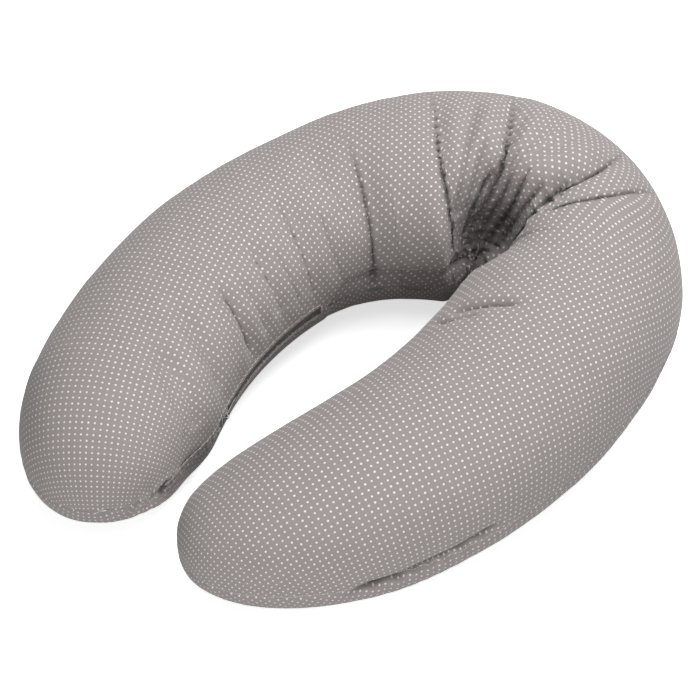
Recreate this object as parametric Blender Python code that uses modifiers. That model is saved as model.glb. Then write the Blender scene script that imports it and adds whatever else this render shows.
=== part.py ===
"""A crescent-shaped nursing pillow in a removable cotton cover, lying on its underside.

The stuffed body follows a centreline of four tangential arcs in plan. Every cloth layer is a stretch
of one lofted surface: a flattened round section carried along that line and rounded off at both tips.
The cover is a top and a bottom panel that meet in one level seam. Along the inner side of the left arm
a zip takes the seam's place on an exact circular arc, so its slider turns about the arc's upright axis.
Inside lie the sewn liner and its bead filling.

Units are metres and +Z is up. The origin is the middle of the pillow's box, at floor level.
"""

import math

import bmesh
import bpy
import numpy as np

# Centreline in plan, walked clockwise from the left tip to the right tip.
LEFT_ARM_RADIUS = 0.430
LEFT_ARM_TURN = math.radians(52.5)
BACK_RADIUS = 0.289
BACK_TURN = math.radians(51.0)
BEND_RADIUS = 0.1125
BEND_TURN = math.radians(103.3)
RIGHT_ARM_RADIUS = 0.496
RIGHT_ARM_TURN = math.radians(59.0)
START_HEADING = math.radians(50.0)

# Half the pillow's width in plan at four places along it.
LEFT_HALF_WIDTH = 0.102
BACK_HALF_WIDTH = 0.122
BEND_END_HALF_WIDTH = 0.115
RIGHT_TIP_HALF_WIDTH = 0.100
LEFT_TIP_LENGTH = 0.138
RIGHT_TIP_LENGTH = 0.253
BEND_INNER_RADIUS = 0.020
PINCH_LEAD = 0.050
PINCH_CORE = 0.015

# Cross-section: height over width, the seam's level and how square its curves are.
FULLNESS = 0.763
SEAM_LEVEL = 0.057
UPPER_SQUARENESS = 2.2
LOWER_SQUARENESS = 2.8
TIP_SQUARENESS = 2.3
UNDERSIDE_PRESS = 1.06
TIP_LIFT = 0.7

# Cloth layers and the room between them.
COVER_CLOTH = 0.0008
LINER_CLOTH = 0.0006
TOUCH_GAP = 0.0003
LINER_SIDE_ROOM = 0.0045
LINER_TOP_ROOM = 0.0012
FILLING_ROOM = 0.0012
THREAD_RADIUS = 0.00035

# Zip: where it starts along the left arm, its length, and the size of its pieces.
ZIP_START = 0.148
ZIP_LENGTH = 0.236
ZIP_SLOT_HALF = 0.0055
TAPE_WIDTH = 0.0120
TAPE_THICKNESS = 0.0006
TAPE_SPARE = 0.0080
TAPE_SET_BACK = 0.0008
TAPE_GAP_HALF = 0.00075
COIL_WIDTH = 0.00225
COIL_THICKNESS = 0.0020
STOP_LENGTH = 0.0022
FACING_WIDTH = 0.0045
FACING_THICKNESS = 0.0010
TACK_LENGTH = 0.0025

# Slider and pull tab.
SLIDE_GAP = 0.0005
SLIDER_LENGTH = 0.0120
SLIDER_HALF_WIDTH = 0.0045
SLIDER_PLATE = 0.0014
SLIDER_BACK_PLATE = 0.0010
SLIDER_POST_HALF = 0.00035
SLIDER_POST_LENGTH = 0.0025
BRIDGE_EYE_HALF = 0.0009
BRIDGE_LEG = 0.0013
BRIDGE_HALF_WIDTH = 0.0010
PULL_LENGTH = 0.0260
PULL_HALF_WIDTH = 0.0035
PULL_THICKNESS = 0.0010
PULL_WINDOW = 0.0052
PULL_WINDOW_HALF = 0.0015
PULL_BAR_HALF = 0.00045

# Care label, folded into the outer seam on the inside of the cover.
LABEL_LENGTH = 0.0400
LABEL_HALF_HEIGHT = 0.0100
LABEL_THICKNESS = 0.0004
LABEL_DRAW_IN = 0.0004

# How finely the surfaces are divided.
LEFT_TIP_RINGS = 6
RIGHT_TIP_RINGS = 9
TIP_CROWDING = 1.5
ZIP_RINGS = 9
RING_TURN = math.radians(9.0)
RING_SPACING = 0.034
EDGE_STEP = math.radians(4.2)
UPPER_STEPS = 8
LOWER_STEPS = 8

ARCS = (
    (LEFT_ARM_RADIUS, LEFT_ARM_TURN),
    (BACK_RADIUS, BACK_TURN),
    (BEND_RADIUS, BEND_TURN),
    (RIGHT_ARM_RADIUS, RIGHT_ARM_TURN),
)
ARC_ENDS = np.cumsum([radius * turn for radius, turn in ARCS])
TOTAL_LENGTH = float(ARC_ENDS[-1])
ZIP_END = ZIP_START + ZIP_LENGTH

# Distances from the zip arc's axis, outwards into the pillow.
EDGE_RADIUS = LEFT_ARM_RADIUS - LEFT_HALF_WIDTH
TAPE_RADIUS = EDGE_RADIUS + COVER_CLOTH + TOUCH_GAP + TAPE_SET_BACK
COIL_RADIUS = TAPE_RADIUS - TOUCH_GAP - COIL_THICKNESS
PLATE_RADIUS = COIL_RADIUS - SLIDE_GAP
BACK_PLATE_RADIUS = TAPE_RADIUS + TAPE_THICKNESS + SLIDE_GAP
HINGE_RADIUS = PLATE_RADIUS - SLIDER_PLATE - BRIDGE_EYE_HALF
FACING_RADIUS = EDGE_RADIUS - TOUCH_GAP - FACING_THICKNESS
COIL_OUTER = TAPE_GAP_HALF + COIL_WIDTH

# How far each layer lies inside the cover's outer surface: at the sides, at the top, at the bottom.
COVER_INSET = (0.0, 0.0, 0.0)
LINER_INSET = (
    COVER_CLOTH + TOUCH_GAP + LINER_SIDE_ROOM,
    COVER_CLOTH + LINER_TOP_ROOM,
    COVER_CLOTH + TOUCH_GAP,
)
FILLING_INSET = tuple(
    inset + LINER_CLOTH + room
    for inset, room in zip(LINER_INSET, (FILLING_ROOM, FILLING_ROOM, TOUCH_GAP))
)


def clear_scene():
    for obj in list(bpy.data.objects):
        bpy.data.objects.remove(obj, do_unlink=True)


def new_collection(name, hidden=False):
    made = bpy.data.collections.new(name)
    bpy.context.scene.collection.children.link(made)
    made.hide_render = hidden
    return made


def new_material(name, colour, roughness, metallic=0.0):
    made = bpy.data.materials.new(name)
    made.use_nodes = True
    shader = made.node_tree.nodes["Principled BSDF"]
    shader.inputs["Base Color"].default_value = (*colour, 1.0)
    shader.inputs["Roughness"].default_value = roughness
    shader.inputs["Metallic"].default_value = metallic
    return made


def new_object(name, data, material, collection):
    made = bpy.data.objects.new(name, data)
    if material is not None:
        data.materials.append(material)
    collection.objects.link(made)
    return made


def mesh_from_bmesh(name, shape):
    bmesh.ops.recalc_face_normals(shape, faces=shape.faces)
    mesh = bpy.data.meshes.new(name)
    shape.to_mesh(mesh)
    shape.free()
    return mesh


def blend(start, end, share):
    share = np.clip(share, 0.0, 1.0)
    return start + (end - start) * share * share * (3 - 2 * share)


def centreline(along):
    """Plan position and heading at each distance along the arcs, before the pillow is centred."""
    x = np.zeros_like(along)
    y = np.zeros_like(along)
    heading = np.zeros_like(along)
    start_x, start_y, angle, begun = 0.0, 0.0, START_HEADING, 0.0
    for (radius, turn), ended in zip(ARCS, ARC_ENDS):
        centre_x = start_x + radius * math.sin(angle)
        centre_y = start_y - radius * math.cos(angle)
        here = along >= begun
        now = angle - (along[here] - begun) / radius
        x[here] = centre_x - radius * np.sin(now)
        y[here] = centre_y + radius * np.cos(now)
        heading[here] = now
        angle -= turn
        start_x = centre_x - radius * math.sin(angle)
        start_y = centre_y + radius * math.cos(angle)
        begun = ended
    return x, y, heading


def half_width(along):
    """Even along the left arm, widest where the back meets the bend, slimmer again to the right tip."""
    left_end, back_end, bend_end, tip = ARC_ENDS
    width = blend(LEFT_HALF_WIDTH, BACK_HALF_WIDTH, (along - left_end) / (back_end - left_end))
    width += blend(0.0, BEND_END_HALF_WIDTH - BACK_HALF_WIDTH, (along - back_end) / (bend_end - back_end))
    width += blend(0.0, RIGHT_TIP_HALF_WIDTH - BEND_END_HALF_WIDTH, (along - bend_end) / (tip - bend_end))
    return width


def inner_half_width(along):
    """The width towards the inside of the U, held back in the bend so that it stays an open corner."""
    width = half_width(along)
    starts = blend(0.0, 1.0, (along - ARC_ENDS[1] + PINCH_LEAD) / (PINCH_LEAD + PINCH_CORE))
    lasts = blend(0.0, 1.0, (ARC_ENDS[2] + PINCH_LEAD - along) / (PINCH_LEAD + PINCH_CORE))
    pinched = np.minimum(width, BEND_RADIUS - BEND_INNER_RADIUS)
    return width + (pinched - width) * starts * lasts


def rounding(distance, length):
    """1 away from a tip, falling to 0 at it along a superellipse."""
    near = np.clip(1.0 - distance / length, 0.0, 1.0)
    return (1.0 - near**TIP_SQUARENESS) ** (1.0 / TIP_SQUARENESS)


def squared(value, squareness):
    return np.abs(value) ** (2.0 / squareness)


def surface(along, angle, side, inset=COVER_INSET, parting=0.0):
    """Points of the upper (side 1) or lower (side -1) surface, by distance along and angle round.

    The angle runs from 0 at the inner edge to pi at the outer edge. Parting is how far the panel's
    edge stays from the seam's level, along each edge.
    """
    in_side, in_top, in_bottom = inset
    reach = in_side + along / TOTAL_LENGTH * (TOTAL_LENGTH - 2 * in_side)
    x, y, heading = centreline(reach)
    fade = rounding(reach - in_side, LEFT_TIP_LENGTH - in_side)
    fade = fade * rounding(TOTAL_LENGTH - in_side - reach, RIGHT_TIP_LENGTH - in_side)
    width = half_width(reach)
    inner = inner_half_width(reach)
    side_width = np.where(np.cos(angle) > 0, inner[:, None], width[:, None]) - in_side
    across = side_width * fade[:, None] * np.sign(np.cos(angle))
    rise = np.sin(angle)
    if side > 0:
        across = across * squared(np.cos(angle), UPPER_SQUARENESS)
        full = (2 * FULLNESS * width - SEAM_LEVEL - in_top) * fade
        lift = parting + np.maximum(full[:, None] - parting, 0) * squared(rise, UPPER_SQUARENESS)
        z = SEAM_LEVEL + lift
    else:
        across = across * squared(np.cos(angle), LOWER_SQUARENESS)
        depth = SEAM_LEVEL - in_bottom
        full = depth * UNDERSIDE_PRESS * fade**TIP_LIFT
        drop = parting + np.maximum(full[:, None] - parting, 0) * squared(rise, LOWER_SQUARENESS)
        z = SEAM_LEVEL - np.minimum(drop, depth)
    px = x[:, None] + np.sin(heading)[:, None] * across
    py = y[:, None] - np.cos(heading)[:, None] * across
    return np.stack([px, py, z], axis=-1)


def ring_stations():
    """Distances along the centreline at which the lofts have a ring of points."""
    left = [LEFT_TIP_LENGTH * (i / LEFT_TIP_RINGS) ** TIP_CROWDING for i in range(LEFT_TIP_RINGS + 1)]
    right = [
        TOTAL_LENGTH - RIGHT_TIP_LENGTH * (i / RIGHT_TIP_RINGS) ** TIP_CROWDING
        for i in range(RIGHT_TIP_RINGS + 1)
    ]
    zip_part = [ZIP_START - TAPE_SPARE / 2]
    zip_part += [ZIP_START + ZIP_LENGTH * i / ZIP_RINGS for i in range(ZIP_RINGS + 1)]
    zip_part += [ZIP_END + TAPE_SPARE / 2]
    rest = []
    begun = zip_part[-1]
    for (radius, _), ended in zip(ARCS, ARC_ENDS):
        ended = min(ended, right[-1])
        if ended > begun:
            count = math.ceil((ended - begun) / min(radius * RING_TURN, RING_SPACING))
            rest += [begun + (ended - begun) * i / count for i in range(1, count)]
            rest += [ended] if ended < right[-1] else []
            begun = ended
    return np.array([s for s in left if s < zip_part[0] - TOUCH_GAP] + zip_part + rest + right[::-1])


STATIONS = ring_stations()
OUTLINE = surface(STATIONS, np.array([0.0, math.pi]), 1)
CENTRE_X = float(OUTLINE[..., 0].min() + OUTLINE[..., 0].max()) / 2
CENTRE_Y = float(OUTLINE[..., 1].min() + OUTLINE[..., 1].max()) / 2
ZIP_AXIS = (
    LEFT_ARM_RADIUS * math.sin(START_HEADING) - CENTRE_X,
    -LEFT_ARM_RADIUS * math.cos(START_HEADING) - CENTRE_Y,
    SEAM_LEVEL,
)


def zip_angle(along):
    """Polar angle about the zip's axis of a distance along the left arm."""
    return START_HEADING + math.pi / 2 - along / LEFT_ARM_RADIUS


def grid_mesh(name, *grids):
    """A mesh over grids of points that share edges, with the rings at both tips drawn into one point."""
    shape = bmesh.new()
    for points in grids:
        rows, columns = points.shape[:2]
        rings = [[shape.verts.new(point) for point in ring] for ring in points]
        for i in range(rows - 1):
            for j in range(columns - 1):
                shape.faces.new((rings[i][j], rings[i][j + 1], rings[i + 1][j + 1]))
                shape.faces.new((rings[i][j], rings[i + 1][j + 1], rings[i + 1][j]))
    bmesh.ops.remove_doubles(shape, verts=shape.verts, dist=1e-6)
    return mesh_from_bmesh(name, shape)


def centred(points):
    return points - np.array([CENTRE_X, CENTRE_Y, 0.0])


def parting_along(at_zip, elsewhere, angle):
    """How far a cover panel's edge keeps from the seam level: wider along the zip on the inner edge."""
    inside = (STATIONS >= ZIP_START - TOUCH_GAP) & (STATIONS <= ZIP_END + TOUCH_GAP)
    inner = np.where(inside, at_zip, elsewhere)[:, None]
    return inner + (elsewhere - inner) * (angle[None, :] / math.pi)


def round_angles(side, edge_step=None):
    """Even angles from the inner to the outer edge, and one more close to each edge where asked for."""
    angle = np.linspace(0.0, math.pi, (UPPER_STEPS if side > 0 else LOWER_STEPS) + 1)
    if edge_step:
        angle = np.insert(angle, [1, len(angle) - 1], [edge_step, math.pi - edge_step])
    return angle


def make_panel(name, side, inset, cloth, material, collection, at_zip=None):
    """One cloth panel: an open stretch of the surface, thickened inwards."""
    angle = round_angles(side, EDGE_STEP if at_zip else None)
    seam_room = THREAD_RADIUS + TOUCH_GAP
    parting = parting_along(at_zip or seam_room, seam_room, angle)
    points = centred(surface(STATIONS, angle, side, inset, parting))
    panel = new_object(name, grid_mesh(name, points), material, collection)
    if faces_inwards(panel.data, side):
        panel.data.flip_normals()
    wall = panel.modifiers.new("cloth", "SOLIDIFY")
    wall.thickness = cloth
    wall.offset = -1.0
    panel.data.shade_smooth()
    return panel


def faces_inwards(mesh, side):
    """True where most of the panel's faces point away from its own side of the seam."""
    return sum(face.normal.z * face.area for face in mesh.polygons) * side < 0


def make_filling(material, collection):
    name = "bead_filling"
    top = surface(STATIONS, round_angles(1), 1, FILLING_INSET)
    bottom = surface(STATIONS, round_angles(-1), -1, FILLING_INSET)
    filling = new_object(name, grid_mesh(name, centred(top), centred(bottom)), material, collection)
    filling.data.shade_smooth()
    return filling


def seam_path(stations, angle, inset, depth):
    """Points along one edge at the seam's level, drawn in from it by the depth."""
    points = surface(stations, np.array([angle]), 1, inset)[:, 0]
    _, _, heading = centreline(stations)
    inwards = 1.0 if angle else -1.0
    points[:, 0] += inwards * depth * np.sin(heading)
    points[:, 1] -= inwards * depth * np.cos(heading)
    return centred(points)


def make_thread(name, path, cyclic, material, collection):
    curve = bpy.data.curves.new(name, "CURVE")
    curve.dimensions = "3D"
    curve.bevel_depth = THREAD_RADIUS
    curve.bevel_resolution = 0
    curve.use_fill_caps = not cyclic
    line = curve.splines.new("POLY")
    line.points.add(len(path) - 1)
    line.points.foreach_set("co", np.column_stack([path, np.ones(len(path))]).ravel())
    line.use_cyclic_u = cyclic
    return new_object(name, curve, material, collection)


def make_cover_thread(material, collection):
    """One run of stitching, from one end of the zip round both tips to the other end."""
    depth = COVER_CLOTH / 2
    inner = STATIONS[1:-1]
    after = seam_path(inner[inner > ZIP_END + TAPE_SPARE], 0.0, COVER_INSET, depth)
    outer = seam_path(STATIONS[1:-1], math.pi, COVER_INSET, depth)[::-1]
    before = seam_path(inner[inner < ZIP_START - TAPE_SPARE], 0.0, COVER_INSET, depth)
    path = np.concatenate([after, tip_point(-1, depth), outer, tip_point(0, depth), before])
    return make_thread("cover_seam_thread", path, False, material, collection)


def tip_point(which, depth, inset=COVER_INSET):
    """The seam's point at a tip, drawn in along the centreline by the depth."""
    point = surface(STATIONS[[which]], np.array([0.0]), 1, inset)[0]
    _, _, heading = centreline(STATIONS[[which]])
    inwards = 1.0 if which == 0 else -1.0
    point[:, 0] += inwards * depth * math.cos(heading[0])
    point[:, 1] += inwards * depth * math.sin(heading[0])
    return centred(point)


def make_liner_thread(material, collection):
    """The liner's closing seam, all the way round."""
    depth = LINER_CLOTH / 2
    inner = seam_path(STATIONS[1:-1], 0.0, LINER_INSET, depth)
    outer = seam_path(STATIONS[1:-1], math.pi, LINER_INSET, depth)[::-1]
    ends = [tip_point(which, depth, LINER_INSET) for which in (-1, 0)]
    path = np.concatenate([inner, ends[0], outer, ends[1]])
    return make_thread("liner_seam_thread", path, True, material, collection)


def make_arc_bar(name, radii, stretch, heights, material, collection):
    """A bar of rectangular section bent round the zip's axis, over a stretch of the left arm."""
    shape = bmesh.new()
    corners = [(r, 0.0, z) for r, z in zip((*radii, *radii[::-1]), np.repeat(heights, 2))]
    face = shape.faces.new([shape.verts.new(corner) for corner in corners])
    turn = (stretch[1] - stretch[0]) / LEFT_ARM_RADIUS
    steps = max(1, round(ZIP_RINGS * (stretch[1] - stretch[0]) / ZIP_LENGTH))
    geometry = [face, *face.edges, *face.verts]
    bmesh.ops.spin(shape, geom=geometry, axis=(0, 0, 1), cent=(0, 0, 0), angle=-turn, steps=steps)
    bar = new_object(name, mesh_from_bmesh(name, shape), material, collection)
    bar.location = ZIP_AXIS
    bar.rotation_euler.z = zip_angle(stretch[0])
    return bar


def mirrored(heights, side):
    """A pair of heights above the zip's line, or the same pair below it, lowest first."""
    return heights if side > 0 else (-heights[1], -heights[0])


def make_zip_sides(materials, collection):
    """Tape, coil, end stop and facing for the upper and the lower half of the zip."""
    for word, side in (("upper", 1), ("lower", -1)):
        tape = mirrored((TAPE_GAP_HALF, TAPE_GAP_HALF + TAPE_WIDTH), side)
        make_arc_bar(
            f"zip_tape_{word}",
            (TAPE_RADIUS, TAPE_RADIUS + TAPE_THICKNESS),
            (ZIP_START - TAPE_SPARE, ZIP_END + TAPE_SPARE),
            tape,
            materials["zip_tape"],
            collection,
        )
        coil = mirrored((TAPE_GAP_HALF, COIL_OUTER), side)
        make_arc_bar(
            f"zip_coil_{word}",
            (COIL_RADIUS, COIL_RADIUS + COIL_THICKNESS),
            (ZIP_START + STOP_LENGTH + TOUCH_GAP, ZIP_END - STOP_LENGTH - TOUCH_GAP),
            coil,
            materials["zip_coil"],
            collection,
        )
        make_arc_bar(
            f"zip_end_stop_{word}",
            (COIL_RADIUS, COIL_RADIUS + COIL_THICKNESS),
            (ZIP_START, ZIP_START + STOP_LENGTH),
            coil,
            materials["metal"],
            collection,
        )
        facing = mirrored((ZIP_SLOT_HALF, ZIP_SLOT_HALF + FACING_WIDTH), side)
        make_arc_bar(
            f"zip_facing_{word}",
            (FACING_RADIUS, FACING_RADIUS + FACING_THICKNESS),
            (ZIP_START, ZIP_END),
            facing,
            materials["cotton"],
            collection,
        )


def make_zip_ends(materials, collection):
    """The bridging stop at the open end, and a bar tack across the slot at each end."""
    make_arc_bar(
        "zip_bottom_stop",
        (COIL_RADIUS, COIL_RADIUS + COIL_THICKNESS),
        (ZIP_END - STOP_LENGTH, ZIP_END),
        (-COIL_OUTER, COIL_OUTER),
        materials["metal"],
        collection,
    )
    reach = ZIP_SLOT_HALF + TOUCH_GAP
    for word, begin in (
        ("closed_end", ZIP_START - TOUCH_GAP - TACK_LENGTH),
        ("open_end", ZIP_END + TOUCH_GAP),
    ):
        make_arc_bar(
            f"bar_tack_{word}",
            (FACING_RADIUS, FACING_RADIUS + FACING_THICKNESS),
            (begin, begin + TACK_LENGTH),
            (-reach, reach),
            materials["thread"],
            collection,
        )


def make_label(materials, collection):
    """A blank care label inside the cover, caught in the outer seam opposite the zip's middle."""
    middle = (ZIP_START + ZIP_END) / 2
    outer = LEFT_ARM_RADIUS + LEFT_HALF_WIDTH - COVER_CLOTH - TOUCH_GAP - LABEL_DRAW_IN
    make_arc_bar(
        "care_label",
        (outer - LABEL_THICKNESS, outer),
        (middle - LABEL_LENGTH / 2, middle + LABEL_LENGTH / 2),
        (-LABEL_HALF_HEIGHT, LABEL_HALF_HEIGHT),
        materials["label"],
        collection,
    )


def block(name, low, high, collection):
    shape = bmesh.new()
    bmesh.ops.create_cube(shape, size=1.0)
    size = [b - a for a, b in zip(low, high)]
    middle = [(a + b) / 2 for a, b in zip(low, high)]
    bmesh.ops.scale(shape, vec=size, verts=shape.verts)
    bmesh.ops.translate(shape, vec=middle, verts=shape.verts)
    return new_object(name, mesh_from_bmesh(name, shape), None, collection)


def make_slider(materials, collection, helpers):
    """Two plates joined by a post at the nose, flanges round the coils, and an eye for the pull tab."""
    half = SLIDER_LENGTH / 2
    front = PLATE_RADIUS - SLIDER_PLATE
    back = BACK_PLATE_RADIUS + SLIDER_BACK_PLATE
    lap = SLIDE_GAP
    wide = SLIDER_HALF_WIDTH
    flange = COIL_OUTER + SLIDE_GAP
    eye = BRIDGE_EYE_HALF
    top = front - 2 * eye
    leg = eye + BRIDGE_LEG
    post = SLIDER_POST_HALF
    slider = block("zip_slider", (front, -half, -wide), (PLATE_RADIUS, half, wide), collection)
    slider.data.materials.append(materials["metal"])
    additions = [
        ((BACK_PLATE_RADIUS, -half, -wide), (back, half, wide)),
        ((PLATE_RADIUS - lap, half - SLIDER_POST_LENGTH, -post), (BACK_PLATE_RADIUS + lap, half, post)),
        ((PLATE_RADIUS - lap, -half, flange), (TAPE_RADIUS - SLIDE_GAP, half, wide)),
        ((PLATE_RADIUS - lap, -half, -wide), (TAPE_RADIUS - SLIDE_GAP, half, -flange)),
        ((top - BRIDGE_LEG, -leg, -BRIDGE_HALF_WIDTH), (top, leg, BRIDGE_HALF_WIDTH)),
        ((top - lap, -leg, -BRIDGE_HALF_WIDTH), (front + lap, -eye, BRIDGE_HALF_WIDTH)),
        ((top - lap, eye, -BRIDGE_HALF_WIDTH), (front + lap, leg, BRIDGE_HALF_WIDTH)),
    ]
    for number, (low, high) in enumerate(additions):
        piece = block(f"slider_block_{number}", low, high, helpers)
        piece.hide_render = True
        piece.display_type = "WIRE"
        join = slider.modifiers.new(f"join_{number}", "BOOLEAN")
        join.operation = "UNION"
        join.object = piece
    slider.location = ZIP_AXIS
    slider.rotation_euler.z = zip_angle(slider_rest())
    for piece in helpers.objects:
        piece.location = slider.location
        piece.rotation_euler = slider.rotation_euler
    return slider


def slider_rest():
    """The slider's middle with the zip closed: its nose lies against the end stops."""
    return ZIP_START + STOP_LENGTH + TOUCH_GAP + SLIDER_LENGTH / 2


def make_pull(materials, collection):
    """A flat tab with a window at one end, whose end bar turns in the slider's eye."""
    curve = bpy.data.curves.new("zip_pull_tab", "CURVE")
    curve.dimensions = "2D"
    curve.fill_mode = "BOTH"
    curve.extrude = PULL_THICKNESS / 2
    near = PULL_BAR_HALF
    tail = [
        (PULL_HALF_WIDTH * math.sin(math.pi * i / 8), -PULL_HALF_WIDTH * math.cos(math.pi * i / 8))
        for i in range(9)
    ]
    outline = [(near, PULL_HALF_WIDTH), (near, -PULL_HALF_WIDTH)]
    outline += [(-(PULL_LENGTH - PULL_HALF_WIDTH + x), y) for x, y in tail]
    window = [
        (-near, -PULL_WINDOW_HALF),
        (-near, PULL_WINDOW_HALF),
        (-PULL_WINDOW, PULL_WINDOW_HALF),
        (-PULL_WINDOW, -PULL_WINDOW_HALF),
    ]
    for ring in (outline, window):
        line = curve.splines.new("POLY")
        line.points.add(len(ring) - 1)
        for point, (x, y) in zip(line.points, ring):
            point.co = (x, y, 0.0, 1.0)
        line.use_cyclic_u = True
    pull = new_object("zip_pull_tab", curve, materials["metal"], collection)
    angle = zip_angle(slider_rest())
    pull.location = (
        ZIP_AXIS[0] + HINGE_RADIUS * math.cos(angle),
        ZIP_AXIS[1] + HINGE_RADIUS * math.sin(angle),
        ZIP_AXIS[2],
    )
    pull.rotation_euler = (math.pi / 2, 0.0, math.pi / 2 + angle)
    return pull


def make_materials():
    return {
        "cotton": new_material("dotted_cotton", (0.33, 0.29, 0.28), 0.9),
        "thread": new_material("sewing_thread", (0.36, 0.32, 0.31), 0.8),
        "zip_tape": new_material("zip_tape", (0.24, 0.22, 0.21), 0.85),
        "zip_coil": new_material("zip_coil", (0.22, 0.20, 0.19), 0.45),
        "metal": new_material("zip_metal", (0.30, 0.29, 0.28), 0.4, 0.9),
        "label": new_material("label_satin", (0.85, 0.85, 0.84), 0.5),
        "liner": new_material("liner_cotton", (0.82, 0.81, 0.78), 0.9),
        "filling": new_material("bead_filling", (0.92, 0.92, 0.91), 0.7),
    }


def main():
    clear_scene()
    pillow = new_collection("nursing_pillow")
    helpers = new_collection("slider_blocks", hidden=True)
    materials = make_materials()
    cotton, liner = materials["cotton"], materials["liner"]
    make_panel("cover_top_panel", 1, COVER_INSET, COVER_CLOTH, cotton, pillow, ZIP_SLOT_HALF)
    make_panel("cover_bottom_panel", -1, COVER_INSET, COVER_CLOTH, cotton, pillow, ZIP_SLOT_HALF)
    make_panel("liner_top_panel", 1, LINER_INSET, LINER_CLOTH, liner, pillow)
    make_panel("liner_bottom_panel", -1, LINER_INSET, LINER_CLOTH, liner, pillow)
    make_filling(materials["filling"], pillow)
    make_cover_thread(materials["thread"], pillow)
    make_liner_thread(materials["thread"], pillow)
    make_zip_sides(materials, pillow)
    make_zip_ends(materials, pillow)
    make_label(materials, pillow)
    make_slider(materials, pillow, helpers)
    make_pull(materials, pillow)


main()
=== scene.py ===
"""Looks of a crescent-shaped nursing pillow in a pin-dotted cotton cover, on a pale studio floor."""

import math

import bmesh
import bpy
import numpy as np
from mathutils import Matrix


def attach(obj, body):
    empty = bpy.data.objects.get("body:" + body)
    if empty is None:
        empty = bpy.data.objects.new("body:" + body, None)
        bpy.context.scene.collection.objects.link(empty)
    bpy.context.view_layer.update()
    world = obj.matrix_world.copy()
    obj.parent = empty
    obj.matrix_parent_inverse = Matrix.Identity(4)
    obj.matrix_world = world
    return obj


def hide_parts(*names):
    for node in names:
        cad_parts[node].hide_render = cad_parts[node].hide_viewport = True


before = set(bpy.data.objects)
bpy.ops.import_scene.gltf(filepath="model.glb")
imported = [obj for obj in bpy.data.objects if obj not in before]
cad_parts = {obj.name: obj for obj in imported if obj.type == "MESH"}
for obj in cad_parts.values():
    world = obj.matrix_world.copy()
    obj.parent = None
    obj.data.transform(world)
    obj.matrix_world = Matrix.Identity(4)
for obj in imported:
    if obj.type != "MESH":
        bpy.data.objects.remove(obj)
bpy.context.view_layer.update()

bl_info = {
    "name": "Nursing Pillow Builder",
    "version": (1, 0, 0),
    "blender": (4, 5, 0),
    "location": "View3D > Sidebar > Pillow",
    "description": "Builds a stuffed crescent pillow with its folds, seam, zip and dotted cloth",
    "category": "Add Mesh",
}

MM = 0.001

# Powers of the superellipses: the upper and lower half of a section, and the fade at each tip.
UPPER_POWER = 2.2
LOWER_POWER = 2.8
TIP_POWER = 2.3
UNDERSIDE_PRESS = 1.06
TIP_LIFT = 0.7
BEND_INNER_RADIUS = 0.020
PINCH_LEAD = 0.050
PINCH_BLEND = 0.065
# Rounds of the cloth simulation, and the share of each length error that a round takes out.
CLOTH_ROUNDS = 260
CLOTH_SPEED = 1.2
CLOTH_STIFFNESS = 0.10
# How much longer the cloth is than the body in the bend, as a share of its length.
BEND_SLACK = 0.42
TIP_CROWDING = 1.8
BEND_CROWDING = 0.75
# The columns beside each seam, as distances from it, that hold its valley and the zip's slot.
BESIDE_SEAM = (0.0044, 0.0057)
# Half width in metres for each radian near a seam, which turns an angle into a distance.
SEAM_REACH = 0.13
TUCK_PLACE = 0.030
TUCK_REACH = 0.09
STITCH_OVERHANG = 0.86
# Where the laid-out cloth's guiding line runs, as shares of the half width, and where gores hang from.
GUIDE_OUT = 0.62
GUIDE_EXTRA = 0.13
HINGE_SHARE = 0.66
# The zip's tapes and coils, the bar tacks, the label and the layers inside.
SIDES = (("upper", 1), ("lower", -1))
TAPE_SPARE = 8 * MM
TAPE_SET_IN = 2.2 * MM
TAPE_LEVEL = 6.75 * MM
TAPE_HALF_THICKNESS = 0.3 * MM
TAPE_HALF_WIDTH = 6.0 * MM
COIL_WIRE = 0.33 * MM
COIL_STEPS = 8
TACK_TURNS = 15.0
TACK_STEPS = 12
TACK_HEIGHT = 11.6 * MM
TACK_THREAD = 0.36 * MM
SEAM_THREAD = 0.42 * MM
TOP_STITCH_PITCH = 2.4 * MM
TOP_STITCH_THREAD = 0.28 * MM
LABEL_HALF_LENGTH = 20 * MM
LABEL_HALF_HEIGHT = 10 * MM
LABEL_HALF_THICKNESS = 0.2 * MM
LABEL_DEPTH = 5.0 * MM
LINER_INSET = 0.030
FILLING_INSET = 0.033
LAYER_SINK = 0.045
FLOOR_HALF = 6.0
STRAIGHT_SHARE = 0.36
DIAGONAL_SHARE = 0.18

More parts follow.
